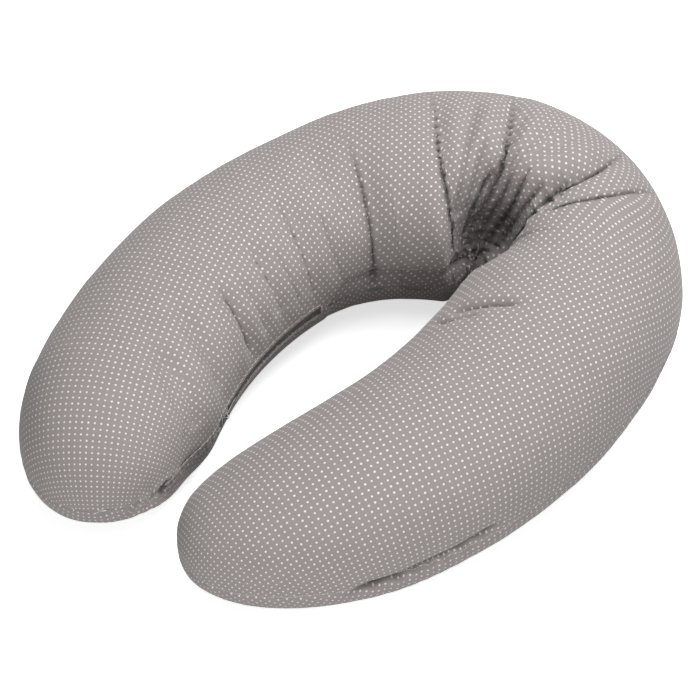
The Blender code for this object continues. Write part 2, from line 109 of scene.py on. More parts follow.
# Folds of the cover: points as (distance along, degrees round from the inner seam), then how deep the
# crack and the hollow round it are, their widths, how far the later side laps over, in millimetres.
FOLDS = (
    (((0.700, 80), (0.672, 50), (0.655, 24), (0.648, 4)), 0, 5.0, 20, 34, 0),
    (((0.584, 136), (0.588, 77), (0.599, 59), (0.612, 46), (0.629, 30), (0.636, 8)), 13, 3.6, 10, 14, 4),
    (((0.630, 118), (0.624, 76), (0.624, 50), (0.630, 34)), 4, 4.5, 7, 14, 0),
    (((0.645, 92), (0.641, 70), (0.640, 50), (0.641, 30)), 4, 4.0, 4, 9, 0),
    (
        ((0.652, 146), (0.660, 99), (0.668, 82), (0.677, 62), (0.672, 46), (0.658, 30), (0.646, 8)),
        12, 3.4, 10, 13, -3,
    ),
    (((0.668, 72), (0.650, 50), (0.648, 32), (0.644, 14)), 9, 3.2, 7, 10, 2),
    (((0.692, 72), (0.690, 48), (0.678, 28), (0.660, 8)), 8, 3.2, 8, 9, 2),
    (((0.710, 84), (0.718, 52), (0.700, 28), (0.676, 8)), 10, 3.4, 10, 11, 2),
    (((0.734, 82), (0.742, 60), (0.730, 36), (0.700, 12)), 8, 3.2, 8, 10, 2),
    (((0.748, 104), (0.752, 75), (0.764, 62), (0.771, 48), (0.768, 22), (0.765, 4)), 18, 4.6, 16, 20, 9),
    (((0.734, 140), (0.752, 104), (0.757, 90), (0.755, 74)), 11, 3.4, 8, 13, 3),
    (((0.764, 147), (0.782, 94), (0.782, 68)), 10, 3.2, 6, 13, 3),
    (((0.498, 104), (0.491, 60), (0.486, 20), (0.485, 2)), 8, 3.4, 10, 18, 2),
    (((0.457, 110), (0.455, 70), (0.463, 50)), 2, 3.5, 6, 18, 0),
    (((0.432, 72), (0.424, 40), (0.430, 10)), 3, 3.0, 7, 13, 0),
    (((0.396, 92), (0.382, 45), (0.378, 12)), 3, 3.0, 8, 15, 2),
    (((0.352, 60), (0.350, 38), (0.352, 12)), 3, 2.6, 5, 9, 0),
    (((0.330, 76), (0.322, 45), (0.320, 14)), 2, 3.0, 7, 13, 2),
    (((0.290, 60), (0.286, 38), (0.284, 12)), 2, 2.6, 5, 10, 0),
    (((0.264, 66), (0.256, 38), (0.250, 10)), 4, 3.0, 7, 10, 2),
    (((0.215, 84), (0.186, 46), (0.165, 14)), 0, 4.0, 6, 11, 0),
    (((0.160, 86), (0.122, 46), (0.096, 14)), 1, 4.0, 8, 13, 0),
    (((0.126, 70), (0.094, 42), (0.070, 16)), 0, 4.0, 5, 9, 0),
    (((0.982, 44), (0.962, 62), (0.940, 82)), 4, 2.4, 5, 9, 2),
    (((1.002, 40), (0.990, 54), (0.972, 68)), 3, 2.4, 4, 8, 2),
)

# How the cut cloth turns under the thread grid: (distance along, degrees).
CUT_TURNS = (
    (0.0, -3),
    (0.10, 1),
    (0.40, 22),
    (0.60, 40),
    (0.82, 54),
    (1.00, 74),
    (1.12, 85),
    (1.365, 121),
)


# Lines where one gore of cloth meets the next, as (distance along, degrees round), and the distance
# along at the middle of each gore beyond them.
GORE_LINES = (
    ((0.485, 0), (0.486, 20), (0.491, 60), (0.496, 96)),
    ((0.634, 4), (0.629, 30), (0.612, 46), (0.599, 59), (0.588, 77), (0.586, 112)),
    ((0.660, 0), (0.660, 38), (0.677, 48), (0.677, 62), (0.668, 82), (0.658, 124)),
    ((0.708, 0), (0.708, 30), (0.722, 52), (0.706, 74), (0.700, 124)),
    ((0.765, 0), (0.768, 22), (0.771, 48), (0.764, 62), (0.752, 75), (0.752, 104), (0.736, 133)),
    ((0.782, 0), (0.782, 94), (0.766, 140)),
)
GORES = (0.54, 0.63, 0.69, 0.735, 0.774, 0.88)


def number(name, description, default, **kind):
    """A size or setting for a property group."""
    return bpy.props.FloatProperty(name=name, description=description, default=default, **kind)


def metres(name, description, default):
    return number(name, description, default, unit="LENGTH")


def degrees(name, description, default):
    return number(name, description, math.radians(default), subtype="ANGLE")


def colour(name, description, default):
    return bpy.props.FloatVectorProperty(
        name=name, description=description, default=default, subtype="COLOR", size=3
    )


class PillowSizes(bpy.types.PropertyGroup):
    """Sizes of the stuffed crescent."""

    left_radius: metres("Left arm radius", "Radius of the long arm", 0.430)
    left_turn: degrees("Left arm turn", "How far the long arm turns", 52.5)
    back_radius: metres("Back radius", "Radius of the back", 0.289)
    back_turn: degrees("Back turn", "How far the back turns", 51.0)
    bend_radius: metres("Bend radius", "Radius of the tight bend", 0.1125)
    bend_turn: degrees("Bend turn", "How far the bend turns", 103.3)
    right_radius: metres("Right arm radius", "Radius of the short arm", 0.496)
    right_turn: degrees("Right arm turn", "How far the short arm turns", 59.0)
    start_heading: degrees("Start heading", "Heading at the left tip", 50.0)
    left_half_width: metres("Left half width", "Half the long arm's width", 0.102)
    back_half_width: metres("Back half width", "Half the width at the back", 0.122)
    bend_half_width: metres("Bend half width", "Half the width after the bend", 0.115)
    right_half_width: metres("Right half width", "Half the short arm's width", 0.100)
    left_tip: metres("Left tip", "Length that rounds off the left tip", 0.138)
    right_tip: metres("Right tip", "Length that rounds off the right tip", 0.253)
    seam_level: metres("Seam level", "Height of the seam", 0.057)
    fullness: number("Fullness", "Height of the section over its width", 0.763)
    ring_spacing: metres("Ring spacing", "Distance between rings of points", 0.0023)
    round_steps: bpy.props.IntProperty(
        name="Round steps", description="Points on each half of a ring", default=152
    )


class ZipSizes(bpy.types.PropertyGroup):
    """Sizes of the zip, its placket and the stitching."""

    start: metres("Start", "Distance along where the zip begins", 0.148)
    end: metres("End", "Distance along where the zip ends", 0.384)
    placket_start: metres("Placket start", "Distance along where the placket begins", 0.034)
    slot_half: metres("Half slot", "Half the height of the opening", 0.0055)
    tooth_pitch: metres("Tooth pitch", "Distance between teeth", 0.00145)
    stitch_pitch: metres("Stitch pitch", "Distance between stitches", 0.0028)


class ClothLook(bpy.types.PropertyGroup):
    """Colours and print of the cloth."""

    ground: colour("Ground", "Colour of the cloth", (0.292, 0.261, 0.253))
    dot: colour("Dot", "Colour of the dots", (0.74, 0.72, 0.71))
    dot_pitch: metres("Dot pitch", "Distance between dots", 0.0068)
    dot_radius: metres("Dot radius", "Radius of a dot", 0.00104)


class StageLook(bpy.types.PropertyGroup):
    """Camera and light."""

    azimuth: degrees("Azimuth", "Camera's angle round the pillow", -40.7)
    elevation: degrees("Elevation", "Camera's angle above the floor", 53.07)
    distance: metres("Distance", "Camera's distance", 2.568)
    lens: number("Lens", "Focal length", 121.1, unit="CAMERA")
    ambient: number("Ambient", "Strength of the even light from all round", 0.23)
    key_power: number("Key light", "Power of the light on the right", 37.0, unit="POWER")
    top_power: number("Top light", "Power of the light overhead", 35.0, unit="POWER")
    front_power: number("Front light", "Power of the light by the camera", 64.0, unit="POWER")


# ---------------------------------------------------------------------------------------------
# Shape of the stuffed crescent


def blend(start, end, share):
    """Smoothstep from start to end."""
    share = np.clip(share, 0.0, 1.0)
    return start + (end - start) * share * share * (3 - 2 * share)


def ramp(distance, length):
    """0 rising to 1 by smoothstep over a length."""
    return blend(0.0, 1.0, distance / length)


def drop(distance, length):
    """1 falling to 0 by smoothstep over a length."""
    return blend(1.0, 0.0, distance / length)


def bell(distance, width):
    """1 at no distance, falling away as exp(-(d/w)^2)."""
    return np.exp(-((distance / width) ** 2))


def signed_power(value, power):
    """A number's size raised to a power, with its sign kept."""
    return np.sign(value) * np.abs(value) ** power


class Crescent:
    """The pillow's smooth outer surface as a function of distance along and angle round.

    The centreline is four tangential arcs. A section's half width is a smoothstep between stated
    widths, times a superellipse fade at each tip. Its upper half is a superellipse of power 2.2 and
    its lower half one of power 2.8, cut off level at the floor.
    """

    def __init__(self, sizes):
        self.sizes = sizes
        self.arcs = (
            (sizes.left_radius, sizes.left_turn),
            (sizes.back_radius, sizes.back_turn),
            (sizes.bend_radius, sizes.bend_turn),
            (sizes.right_radius, sizes.right_turn),
        )
        self.ends = np.cumsum([radius * turn for radius, turn in self.arcs])
        self.length = float(self.ends[-1])
        self.seam = sizes.seam_level
        self.centre = np.zeros(3)
        edge = self.surface(np.linspace(0.0, self.length, 400), np.array([0.0, math.pi]))
        middle = (edge.min(axis=(0, 1)) + edge.max(axis=(0, 1))) / 2
        self.centre = np.array([middle[0], middle[1], 0.0])
        self.zip_axis = np.array(
            [
                sizes.left_radius * math.sin(sizes.start_heading) - middle[0],
                -sizes.left_radius * math.cos(sizes.start_heading) - middle[1],
                self.seam,
            ]
        )

    def centreline(self, along):
        """Plan position and heading: each arc turns clockwise about its own centre."""
        x, y, heading = np.zeros((3, len(along)))
        start_x, start_y, angle, begun = 0.0, 0.0, self.sizes.start_heading, 0.0
        for (radius, turn), ended in zip(self.arcs, self.ends):
            centre_x = start_x + radius * math.sin(angle)
            centre_y = start_y - radius * math.cos(angle)
            here = along >= begun
            now = angle - (along[here] - begun) / radius
            x[here] = centre_x - radius * np.sin(now)
            y[here] = centre_y + radius * np.cos(now)
            heading[here] = now
            angle -= turn
            start_x = centre_x - radius * math.sin(angle)
            start_y = centre_y + radius * math.cos(angle)
            begun = ended
        return x, y, heading

    def half_width(self, along):
        """Half the section's width, by smoothstep from each arc's width to the next."""
        sizes, (left, back, bend, tip) = self.sizes, self.ends
        width = blend(sizes.left_half_width, sizes.back_half_width, (along - left) / (back - left))
        more = sizes.bend_half_width - sizes.back_half_width
        width += blend(0.0, more, (along - back) / (bend - back))
        more = sizes.right_half_width - sizes.bend_half_width
        width += blend(0.0, more, (along - bend) / (tip - bend))
        return width

    def inner_half_width(self, along):
        """The width towards the inside, held 20 mm short of the bend's centre."""
        width = self.half_width(along)
        starts = ramp(along - self.ends[1] + PINCH_LEAD, PINCH_BLEND)
        lasts = ramp(self.ends[2] + PINCH_LEAD - along, PINCH_BLEND)
        pinched = np.minimum(width, self.sizes.bend_radius - BEND_INNER_RADIUS)
        return width + (pinched - width) * starts * lasts

    def fade(self, along):
        """1 along the arms, falling to 0 at each tip along a superellipse of power 2.3."""
        faded = np.ones_like(along)
        for distance, length in (
            (along, self.sizes.left_tip),
            (self.length - along, self.sizes.right_tip),
        ):
            near = np.clip(1.0 - distance / length, 0.0, 1.0)
            faded = faded * (1.0 - near**TIP_POWER) ** (1 / TIP_POWER)
        return faded

    def surface(self, along, turn, inset=0.0):
        """Points for each distance along and each angle, 0 at the inner seam and over the top."""
        x, y, heading = self.centreline(inset + along / self.length * (self.length - 2 * inset))
        fade = self.fade(along)[:, None]
        width = self.half_width(along)[:, None]
        inner = self.inner_half_width(along)[:, None]
        cosine, sine = np.cos(turn)[None, :], np.sin(turn)[None, :]
        above = sine >= -1e-9
        power = np.where(above, 2 / UPPER_POWER, 2 / LOWER_POWER)
        reach = (np.where(cosine > 0, inner, width) - inset) * fade
        across = reach * signed_power(cosine, power)
        rise = np.abs(sine) ** power
        top = (2 * self.sizes.fullness * width - self.seam - inset) * fade * rise
        depth = self.seam - inset
        bottom = np.minimum(depth * UNDERSIDE_PRESS * fade**TIP_LIFT * rise, depth)
        z = self.seam + np.where(above, top, -bottom)
        px = x[:, None] + np.sin(heading)[:, None] * across
        py = y[:, None] - np.cos(heading)[:, None] * across
        return np.stack([px, py, z], axis=-1) - self.centre


def unit(vectors, least=1e-12):
    """Vectors scaled to a length of 1."""
    return vectors / np.maximum(np.linalg.norm(vectors, axis=-1, keepdims=True), least)


def run_lengths(points):
    """Distance along a line of points, from 0 at the first."""
    return np.concatenate([[0.0], np.cumsum(np.linalg.norm(np.diff(points, axis=0), axis=1))])


def full_circle(count):
    """Evenly spaced angles once round."""
    return np.linspace(0.0, 2 * math.pi, count, endpoint=False)


def wrapped(turn):
    """Angles from the inner seam, below it as negative ones."""
    return np.where(turn > math.pi, turn - 2 * math.pi, turn)[None, :]


def even_turns(crescent, steps):
    """Angles all the way round whose points on a middle section are evenly spaced, seams included."""
    turns = []
    for begin in (0.0, math.pi):
        fine = np.linspace(begin, begin + math.pi, 2001)
        lengths = run_lengths(crescent.surface(np.array([0.30]), fine)[0])
        wanted = np.linspace(0.0, lengths[-1], steps + 1)[:-1]
        if begin and steps > 60:
            wanted[[-1, -2]] = lengths[-1] - np.array(BESIDE_SEAM)
        elif steps > 60:
            wanted[[1, 2]] = BESIDE_SEAM
        turns.append(np.interp(wanted, lengths, fine))
    return np.concatenate(turns)


def even_rings(crescent, spacing):
    """Distances along for the rings: crowded towards the tips and round the bend, even between them."""
    left, right = crescent.sizes.left_tip, crescent.sizes.right_tip
    count_left, count_right = round(left / spacing), round(right / spacing)
    start = left * np.linspace(0.0, 1.0, count_left + 1)[1:] ** TIP_CROWDING
    fine = np.linspace(left, crescent.length - right, 4001)
    crowding = 1 + BEND_CROWDING * ramp(fine - 0.56, 0.03) * drop(fine - 0.78, 0.03)
    counted = np.cumsum(crowding * (fine[1] - fine[0])) / spacing
    middle = np.interp(np.arange(1.0, counted[-1] - 0.5), counted, fine)
    finish = crescent.length - right * np.linspace(1.0, 0.0, count_right + 1)[:-1] ** TIP_CROWDING
    return np.concatenate([start, middle, finish])


def surface_normals(points):
    """Unit normals of a grid that closes on itself round its second side, pointing outwards."""
    along = np.gradient(points, axis=0)
    around = np.roll(points, -1, axis=1) - np.roll(points, 1, axis=1)
    return unit(np.cross(along, around))


def smooth_noise(points, scale, seed):
    """Value noise in space: random numbers at whole points, blended by smoothstep between them."""
    spot = points / scale + seed * 17.31
    cell = np.floor(spot).astype(np.int64)
    share = spot - cell
    share = share * share * (3 - 2 * share)
    total = np.zeros(points.shape[:-1])
    for corner in np.ndindex(2, 2, 2):
        key = (cell + np.array(corner)) @ np.array([73856093, 19349663, 83492791]) + seed * 2654435761
        key = (key ^ (key >> 13)) * 1274126177
        value = ((key ^ (key >> 16)) & 0xFFFF) / 32767.5 - 1.0
        weight = np.prod(np.where(np.array(corner), share, 1 - share), axis=-1)
        total += value * weight
    return total


def fold_line(crescent, controls):
    """Forty points on the surface along a smooth line through a fold's control points."""
    controls = np.array(controls, dtype=float)
    knots = np.linspace(0.0, 1.0, len(controls))
    places = np.linspace(0.0, 1.0, 40)
    along = np.interp(places, knots, controls[:, 0])
    turn = np.interp(places, knots, np.radians(controls[:, 1]))
    for _ in range(60):
        along[1:-1] = (along[:-2] + 2 * along[1:-1] + along[2:]) / 4
        turn[1:-1] = (turn[:-2] + 2 * turn[1:-1] + turn[2:]) / 4
    points = np.stack([crescent.surface(np.array([s]), np.array([a]))[0, 0] for s, a in zip(along, turn)])
    return along, turn, points


def press_folds(crescent, along, turn, points, normals, folds=FOLDS):
    """Moves points for every fold in a list.

    Near a fold's line a point sinks by a narrow crack, exp(-(d/w)^1.5), plus a wide hollow,
    exp(-(d/W)^2), rises a little beyond it, and is drawn towards the line. The side further along laps
    over the crack. All of it fades to nothing at the fold's ends. Also gives a painted shade mask,
    from 0 to 1, strongest inside each deep crack, which later darkens the cloth's colour there.
    """
    moved = points.copy()
    painted_shade_mask = np.zeros(points.shape[:2])
    upper = turn <= math.pi + 1e-6
    for controls, crack, crack_width, hollow, hollow_width, lap in folds:
        line_along, line_turn, line = fold_line(crescent, controls)
        reach = 3.2 * hollow_width * MM
        rows = np.where((along > line_along.min() - 0.12) & (along < line_along.max() + 0.12))[0]
        columns = np.where(upper & (turn < line_turn.max() + 0.6))[0]
        patch = points[np.ix_(rows, columns)]
        gap = np.linalg.norm(patch[..., None, :] - line, axis=-1)
        nearest = gap.argmin(axis=-1)
        distance = np.take_along_axis(gap, nearest[..., None], axis=-1)[..., 0]
        place = nearest / (len(line) - 1)
        strength = ramp(place, 0.30) * blend(1.0, 0.35, (place - 0.85) / 0.15)
        near = distance < reach
        strength = strength * near
        crack_width, hollow_width = crack_width * MM, hollow_width * MM
        sink = crack * MM * np.exp(-((distance / crack_width) ** 1.5))
        sink += hollow * MM * bell(distance, hollow_width)
        sink -= 0.30 * hollow * MM * bell(distance - 1.7 * hollow_width, hollow_width)
        towards = line[nearest] - patch
        level = towards / np.maximum(distance, 1e-6)[..., None]
        pinch = 0.35 * distance * bell(distance, 1.5 * crack_width)
        side = np.sign(along[rows][:, None] - line_along[nearest]) * np.sign(lap)
        lapping = np.where(side > 0, abs(lap) * MM * bell(distance, 2.2 * crack_width), 0.0)
        shift = normals[np.ix_(rows, columns)] * -sink[..., None] + level * (pinch + lapping)[..., None]
        moved[np.ix_(rows, columns)] += shift * strength[..., None]
        # Painted shade: how strongly each deep crack darkens the cloth's colour, standing in for the shade
        # inside it.
        depth = min(1.0, max(0.0, crack - 2) / 7)
        crack_shade = strength * depth * bell(distance, 0.85 * crack_width)
        painted_shade_mask[np.ix_(rows, columns)] = np.maximum(painted_shade_mask[np.ix_(rows, columns)], crack_shade)
    return moved, painted_shade_mask


def soften(zip_sizes, along, turn, points, normals):
    """Adds the slack of a bead filling and the sewn seam.

    Broad lumps and finer ripples are noise. The seam is a narrow valley, 1.5 mm deep, with puckers
    beside it. It rises above the widest point along the back's inner side, where the lower panel is
    drawn in under the upper. Along the zip the cloth lies smooth, and sinks 4.5 mm within the slot.
    """
    lumps = 1.3 * MM * smooth_noise(points, 0.075, 3) + 0.5 * MM * smooth_noise(points, 0.030, 5)
    lumps += 0.22 * MM * smooth_noise(points, 0.011, 7)
    raised = seam_rise(along)[:, None]
    round_inner = wrapped(turn) - raised
    round_outer = (turn - math.pi)[None, :]
    nearer_inner = np.abs(round_inner) < np.abs(round_outer)
    from_seam = np.where(nearer_inner, round_inner, round_outer) * SEAM_REACH
    puckers = 0.8 * MM * smooth_noise(points * np.array([1.0, 1.0, 0.25]), 0.008, 8)
    near_seam = np.exp(-np.abs(from_seam) / 0.012)
    valley = 1.5 * MM * bell(from_seam, 0.0024)
    ledge = 5.0 * MM * drop(from_seam + 0.0035, 0.0035) * ramp(raised, 0.05)
    ledge = np.where(nearer_inner, ledge * np.exp(-np.abs(from_seam) / 0.05), 0.0)
    start, end = zip_sizes.start, zip_sizes.end
    zipped = ramp(along - start + 0.025, 0.02) * drop(along - end - 0.005, 0.02)
    smooth = zipped[:, None] * ramp(np.cos(turn)[None, :] - 0.80, 0.17)
    resting = ramp(points[..., 2], 0.012)
    amount = ((lumps + puckers * near_seam) * resting - valley - ledge) * (1 - smooth)
    slot = np.zeros((len(along), len(turn)))
    slot[np.ix_((along > start) & (along < end), [-1, 0, 1])] = 4.5 * MM
    return points + normals * (amount - slot)[..., None]


def gather_zip_end(along, turn, points, normals):
    """Draws the cover in where the placket ends near the left tip.

    The inner side is pulled flat by up to 12 mm. A tuck sinks 9 mm at the placket's end, and from it
    small gathers run round the tip, as sine ridges that die away with distance. Also gives a painted
    shade for the tuck, which darkens the cloth's colour in it.
    """
    angle, place = wrapped(turn), along[:, None]
    flat = cover_draw(place) * bell(angle - 0.02, 0.75)
    tuck_gap = np.hypot((place - TUCK_PLACE) / 0.0065, (angle + 0.02) / 0.075)
    tuck = 9 * MM * np.exp(-(tuck_gap**1.6)) - 2.2 * MM * np.exp(-((tuck_gap - 2.0) ** 2))
    away = np.hypot(place - TUCK_PLACE, TUCK_REACH * (angle + 0.02))
    bearing = np.arctan2(TUCK_REACH * (angle + 0.02), place - TUCK_PLACE)
    ridges = np.sin(9.0 * bearing + 40.0 * away) * np.exp(-away / 0.030) * ramp(away, 0.010)
    scallops = 5 * MM + 5 * MM * np.sin(2 * math.pi * (place - 0.003) / 0.020) ** 2
    scallops = scallops * bell(place - 0.016, 0.014) * bell(angle + 0.45, 0.65)
    sink = flat + tuck + 1.5 * MM * ridges + scallops
    # The second value is a painted shade mask for the tuck's hollow, which darkens the cloth's colour
    # there.
    return points - normals * sink[..., None], np.exp(-((0.9 * tuck_gap) ** 2))


def cover_draw(along):
    """How far in the placket's line is drawn at each distance along."""
    return 12 * MM * bell(along - 0.062, 0.042)


def tuck_underside(along, turn, points, normals):
    """Folds the slack at the foot of the short arm's outer side into one long lap and small puckers."""
    angle, place = turn[None, :], along[:, None]
    line = 3.04 + 0.12 * (place - 1.09) / 0.12
    off = (angle - line) * 0.115
    along_fold = ramp(place - 1.075, 0.03) * drop(place - 1.20, 0.03)
    crack = 6.0 * MM * np.exp(-((np.abs(off) / 0.0035) ** 1.5)) + 3.0 * MM * bell(off, 0.014)
    below = ramp(off, 0.006) * np.exp(-np.maximum(off, 0.0) / 0.022)
    puckers = 1.8 * MM * np.sin(2 * math.pi * place / 0.017 + 2.0 * np.sin(60.0 * place)) * below
    moved = points - normals * ((crack + puckers) * along_fold)[..., None]
    # The second value is a painted shade mask along the lap's crack, which darkens the cloth's colour
    # there.
    return moved, bell(off, 0.0028) * along_fold


def seam_rise(along):
    """How far round, in radians, the inner seam lies above the widest point."""
    return 0.20 * ramp(along - 0.388, 0.05) * drop(along - 0.66, 0.08)


def grid_gaps(points, row_step, column_step):
    """From each point of a closed grid to the one a step along, a step round, or both."""
    following = np.roll(points, -column_step, axis=1)
    return following[row_step:] - points[: len(points) - row_step]


def length_pull(points, rest, row_step, column_step):
    """One round of length corrections between each point and the next in one direction."""
    gap = grid_gaps(points, row_step, column_step)
    length = np.maximum(np.linalg.norm(gap, axis=-1), 1e-7)
    pull = gap * (0.5 * (length - rest) / length)[..., None]
    change = np.zeros_like(points)
    change[: len(points) - row_step] += pull
    change[row_step:] -= np.roll(pull, column_step, axis=1)
    return change


def settle_cloth(points, base, normals, slack, sink, rise):
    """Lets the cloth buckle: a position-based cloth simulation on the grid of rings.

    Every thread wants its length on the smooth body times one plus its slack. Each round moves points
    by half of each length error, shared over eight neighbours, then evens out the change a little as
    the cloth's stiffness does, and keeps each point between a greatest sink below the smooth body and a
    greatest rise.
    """
    steps = ((1, 0), (0, 1), (1, 1), (1, -1))
    along, around, rising, falling = (np.linalg.norm(grid_gaps(base, *step), axis=-1) for step in steps)
    along_rest = along * (1 + (slack[1:] + slack[:-1]) / 2)
    cross = np.sqrt(np.maximum((rising**2 + falling**2) / 2 - along**2, 1e-12))
    longer = np.sqrt((along_rest**2 + cross**2) / (along**2 + cross**2))
    freedom = np.clip(slack / 0.05, 0.0, 1.0)[..., None]
    now = points.copy()
    for _ in range(CLOTH_ROUNDS):
        change = length_pull(now, along_rest, 1, 0) * STRAIGHT_SHARE
        change += length_pull(now, around, 0, 1) * STRAIGHT_SHARE
        change += length_pull(now, rising * longer, 1, 1) * DIAGONAL_SHARE
        change += length_pull(now, falling * longer, 1, -1) * DIAGONAL_SHARE
        now = now + CLOTH_SPEED * change * freedom
        offset = now - base
        even = (np.roll(offset, 1, axis=1) + np.roll(offset, -1, axis=1)) / 2
        even[1:-1] = (even[1:-1] + (offset[:-2] + offset[2:]) / 2) / 2
        offset += CLOTH_STIFFNESS * (even - offset) * freedom
        height = np.einsum("ijk,ijk->ij", offset, normals)
        kept = np.clip(height, -sink, rise)
        offset += normals * (kept - height)[..., None]
        now = base + offset
    return now


def buckle(along, turn, base, normals, pressed):
    """Settles every other ring and column of the cover, then carries what moved to the full grid."""
    coarse_base, coarse_normals, start = (grid[::2, ::2] for grid in (base, normals, pressed))
    place, angle = along[::2, None], turn[None, ::2]
    over_top = ramp(angle - 0.06, 0.25) * drop(angle - 1.5, 0.9)
    slack = BEND_SLACK * bell(place - 0.695, 0.075) * over_top
    slack += 0.06 * bell(place - 0.50, 0.12) * over_top
    wandering = place + 0.012 * np.sin(2.1 * angle)
    ridges = np.stack(np.broadcast_arrays(wandering, 0.022 * angle, 0.0), axis=-1)
    seeds = smooth_noise(ridges, 0.011, 11)
    start = start + coarse_normals * (np.minimum(slack, 0.3) * 9 * MM * seeds)[..., None]
    sink = 0.030 * slack / BEND_SLACK + 0.0008
    rise = 0.009 * slack / BEND_SLACK + 0.0005
    depth = -np.einsum("ijk,ijk->ij", start - coarse_base, coarse_normals)
    sink = sink + np.maximum(depth, 0)
    settled = settle_cloth(start, coarse_base, coarse_normals, slack, sink, rise)
    return pressed + finer_offset(settled - pressed[::2, ::2], *pressed.shape[:2])


def finer_offset(offset, rows, columns):
    """Spreads a coarse grid of offsets over the fine grid that has a point between each two."""
    wide = np.zeros((offset.shape[0], columns, 3))
    wide[:, ::2] = offset
    wide[:, 1::2] = (offset + np.roll(offset, -1, axis=1)) / 2
    places = np.arange(rows) / 2
    low = np.minimum(places.astype(int), len(offset) - 1)
    high = np.minimum(low + 1, len(offset) - 1)
    share = (places - low)[:, None, None]
    full = wide[low] * (1 - share) + wide[high] * share
    for _ in range(2):
        full[1:-1] = (full[:-2] + 2 * full[1:-1] + full[2:]) / 4
        full = (np.roll(full, 1, axis=1) + 2 * full + np.roll(full, -1, axis=1)) / 4
    return full


def crescent_mesh(name, grid):
    """A closed mesh over a grid of rings, with one point at each tip. Rings close on themselves."""
    rows, columns = grid.shape[:2]
    tips = [grid[0].mean(axis=0), grid[-1].mean(axis=0)]
    vertices = np.concatenate([grid.reshape(-1, 3), tips])
    ring = np.arange(columns)
    following = (ring + 1) % columns
    starts = np.arange(rows - 1)[:, None] * columns
    quads = np.stack(
        [starts + ring, starts + following, starts + columns + following, starts + columns + ring], axis=-1
    ).reshape(-1, 4)
    first, last = rows * columns, rows * columns + 1
    ends = [(first, b, a) for a, b in zip(ring, following)]
    base = (rows - 1) * columns
    ends += [(last, base + a, base + b) for a, b in zip(ring, following)]
    mesh = bpy.data.meshes.new(name)
    mesh.from_pydata(vertices.tolist(), [], quads[:, ::-1].tolist() + [face[::-1] for face in ends])
    mesh.shade_smooth()
    mesh.update()
    return mesh


def seam_lines(zip_sizes, along, turn, shaped):
    """The cover's seam as lines of points with outward normals.

    One line runs round the outer side. On the inner side there is one before the zip, one along the
    back and one on the short arm.
    """
    normals = surface_normals(shaped)
    rows = np.arange(len(along))
    column = np.interp(seam_rise(along), turn[: len(turn) // 4], np.arange(len(turn) // 4))
    low, share = column.astype(int), (column % 1)[:, None]
    inner = shaped[rows, low] * (1 - share) + shaped[rows, low + 1] * share
    facing = normals[rows, low]
    half = len(turn) // 2
    clear = (along > 0.006) & (along < along[-1] - 0.006)
    before = clear & (along < zip_sizes.placket_start - 0.004)
    back = (along > zip_sizes.end + 0.006) & (along < 0.61)
    arm = clear & (along > 0.80)
    return {
        "outer": (shaped[clear, half], normals[clear, half]),
        "before_zip": (inner[before], facing[before]),
        "back": (inner[back], facing[back]),
        "short_arm": (inner[arm], facing[arm]),
    }


def beside(crescent, along, across, height):
    """Points by distance along the arm, distance in from its centreline and height above the seam."""
    x, y, heading = crescent.centreline(np.ravel(along))
    shape = np.broadcast(along, across, height).shape
    x, y, heading = (
        np.broadcast_to(np.reshape(part, np.shape(along)), shape) for part in (x, y, heading)
    )
    z = np.broadcast_to(crescent.seam + height, shape)
    points = np.stack([x + np.sin(heading) * across, y - np.cos(heading) * across, z], axis=-1)
    return points - crescent.centre


def band_grid(crescent, along, across, height, half_across, half_height, columns=20):
    """A strip with a rounded section: rings of a superellipse of power 5, drawn in at both ends."""
    angle = full_circle(columns)[None, :]
    closing = np.ones((len(along), 1))
    closing[[0, -1]] = 0.4
    wide = half_across * signed_power(np.cos(angle), 0.4)
    tall = half_height * signed_power(np.sin(angle), 0.4)
    return beside(crescent, along[:, None], across + wide * closing, height + tall * closing)


def tube_grid(path, reference, radius, sides=6):
    """Rings round a path. Each ring's first axis is the reference made square to the path."""
    ahead = unit(np.gradient(path, axis=0))
    first = unit(reference - ahead * np.einsum("ij,ij->i", reference, ahead)[:, None])
    second = np.cross(first, ahead)
    angle = full_circle(sides)
    cosine, sine = np.cos(angle)[None, :, None], np.sin(angle)[None, :, None]
    return path[:, None] + (cosine * first[:, None] + sine * second[:, None]) * radius


def resample(line, pitch):
    """Values at an even pitch along a line of points, for the points and whatever else comes with them."""
    lengths = run_lengths(line[0])
    wanted = np.arange(pitch / 2, lengths[-1], pitch)
    return [
        np.stack([np.interp(wanted, lengths, part[:, axis]) for axis in range(3)], axis=1)
        for part in line
    ]


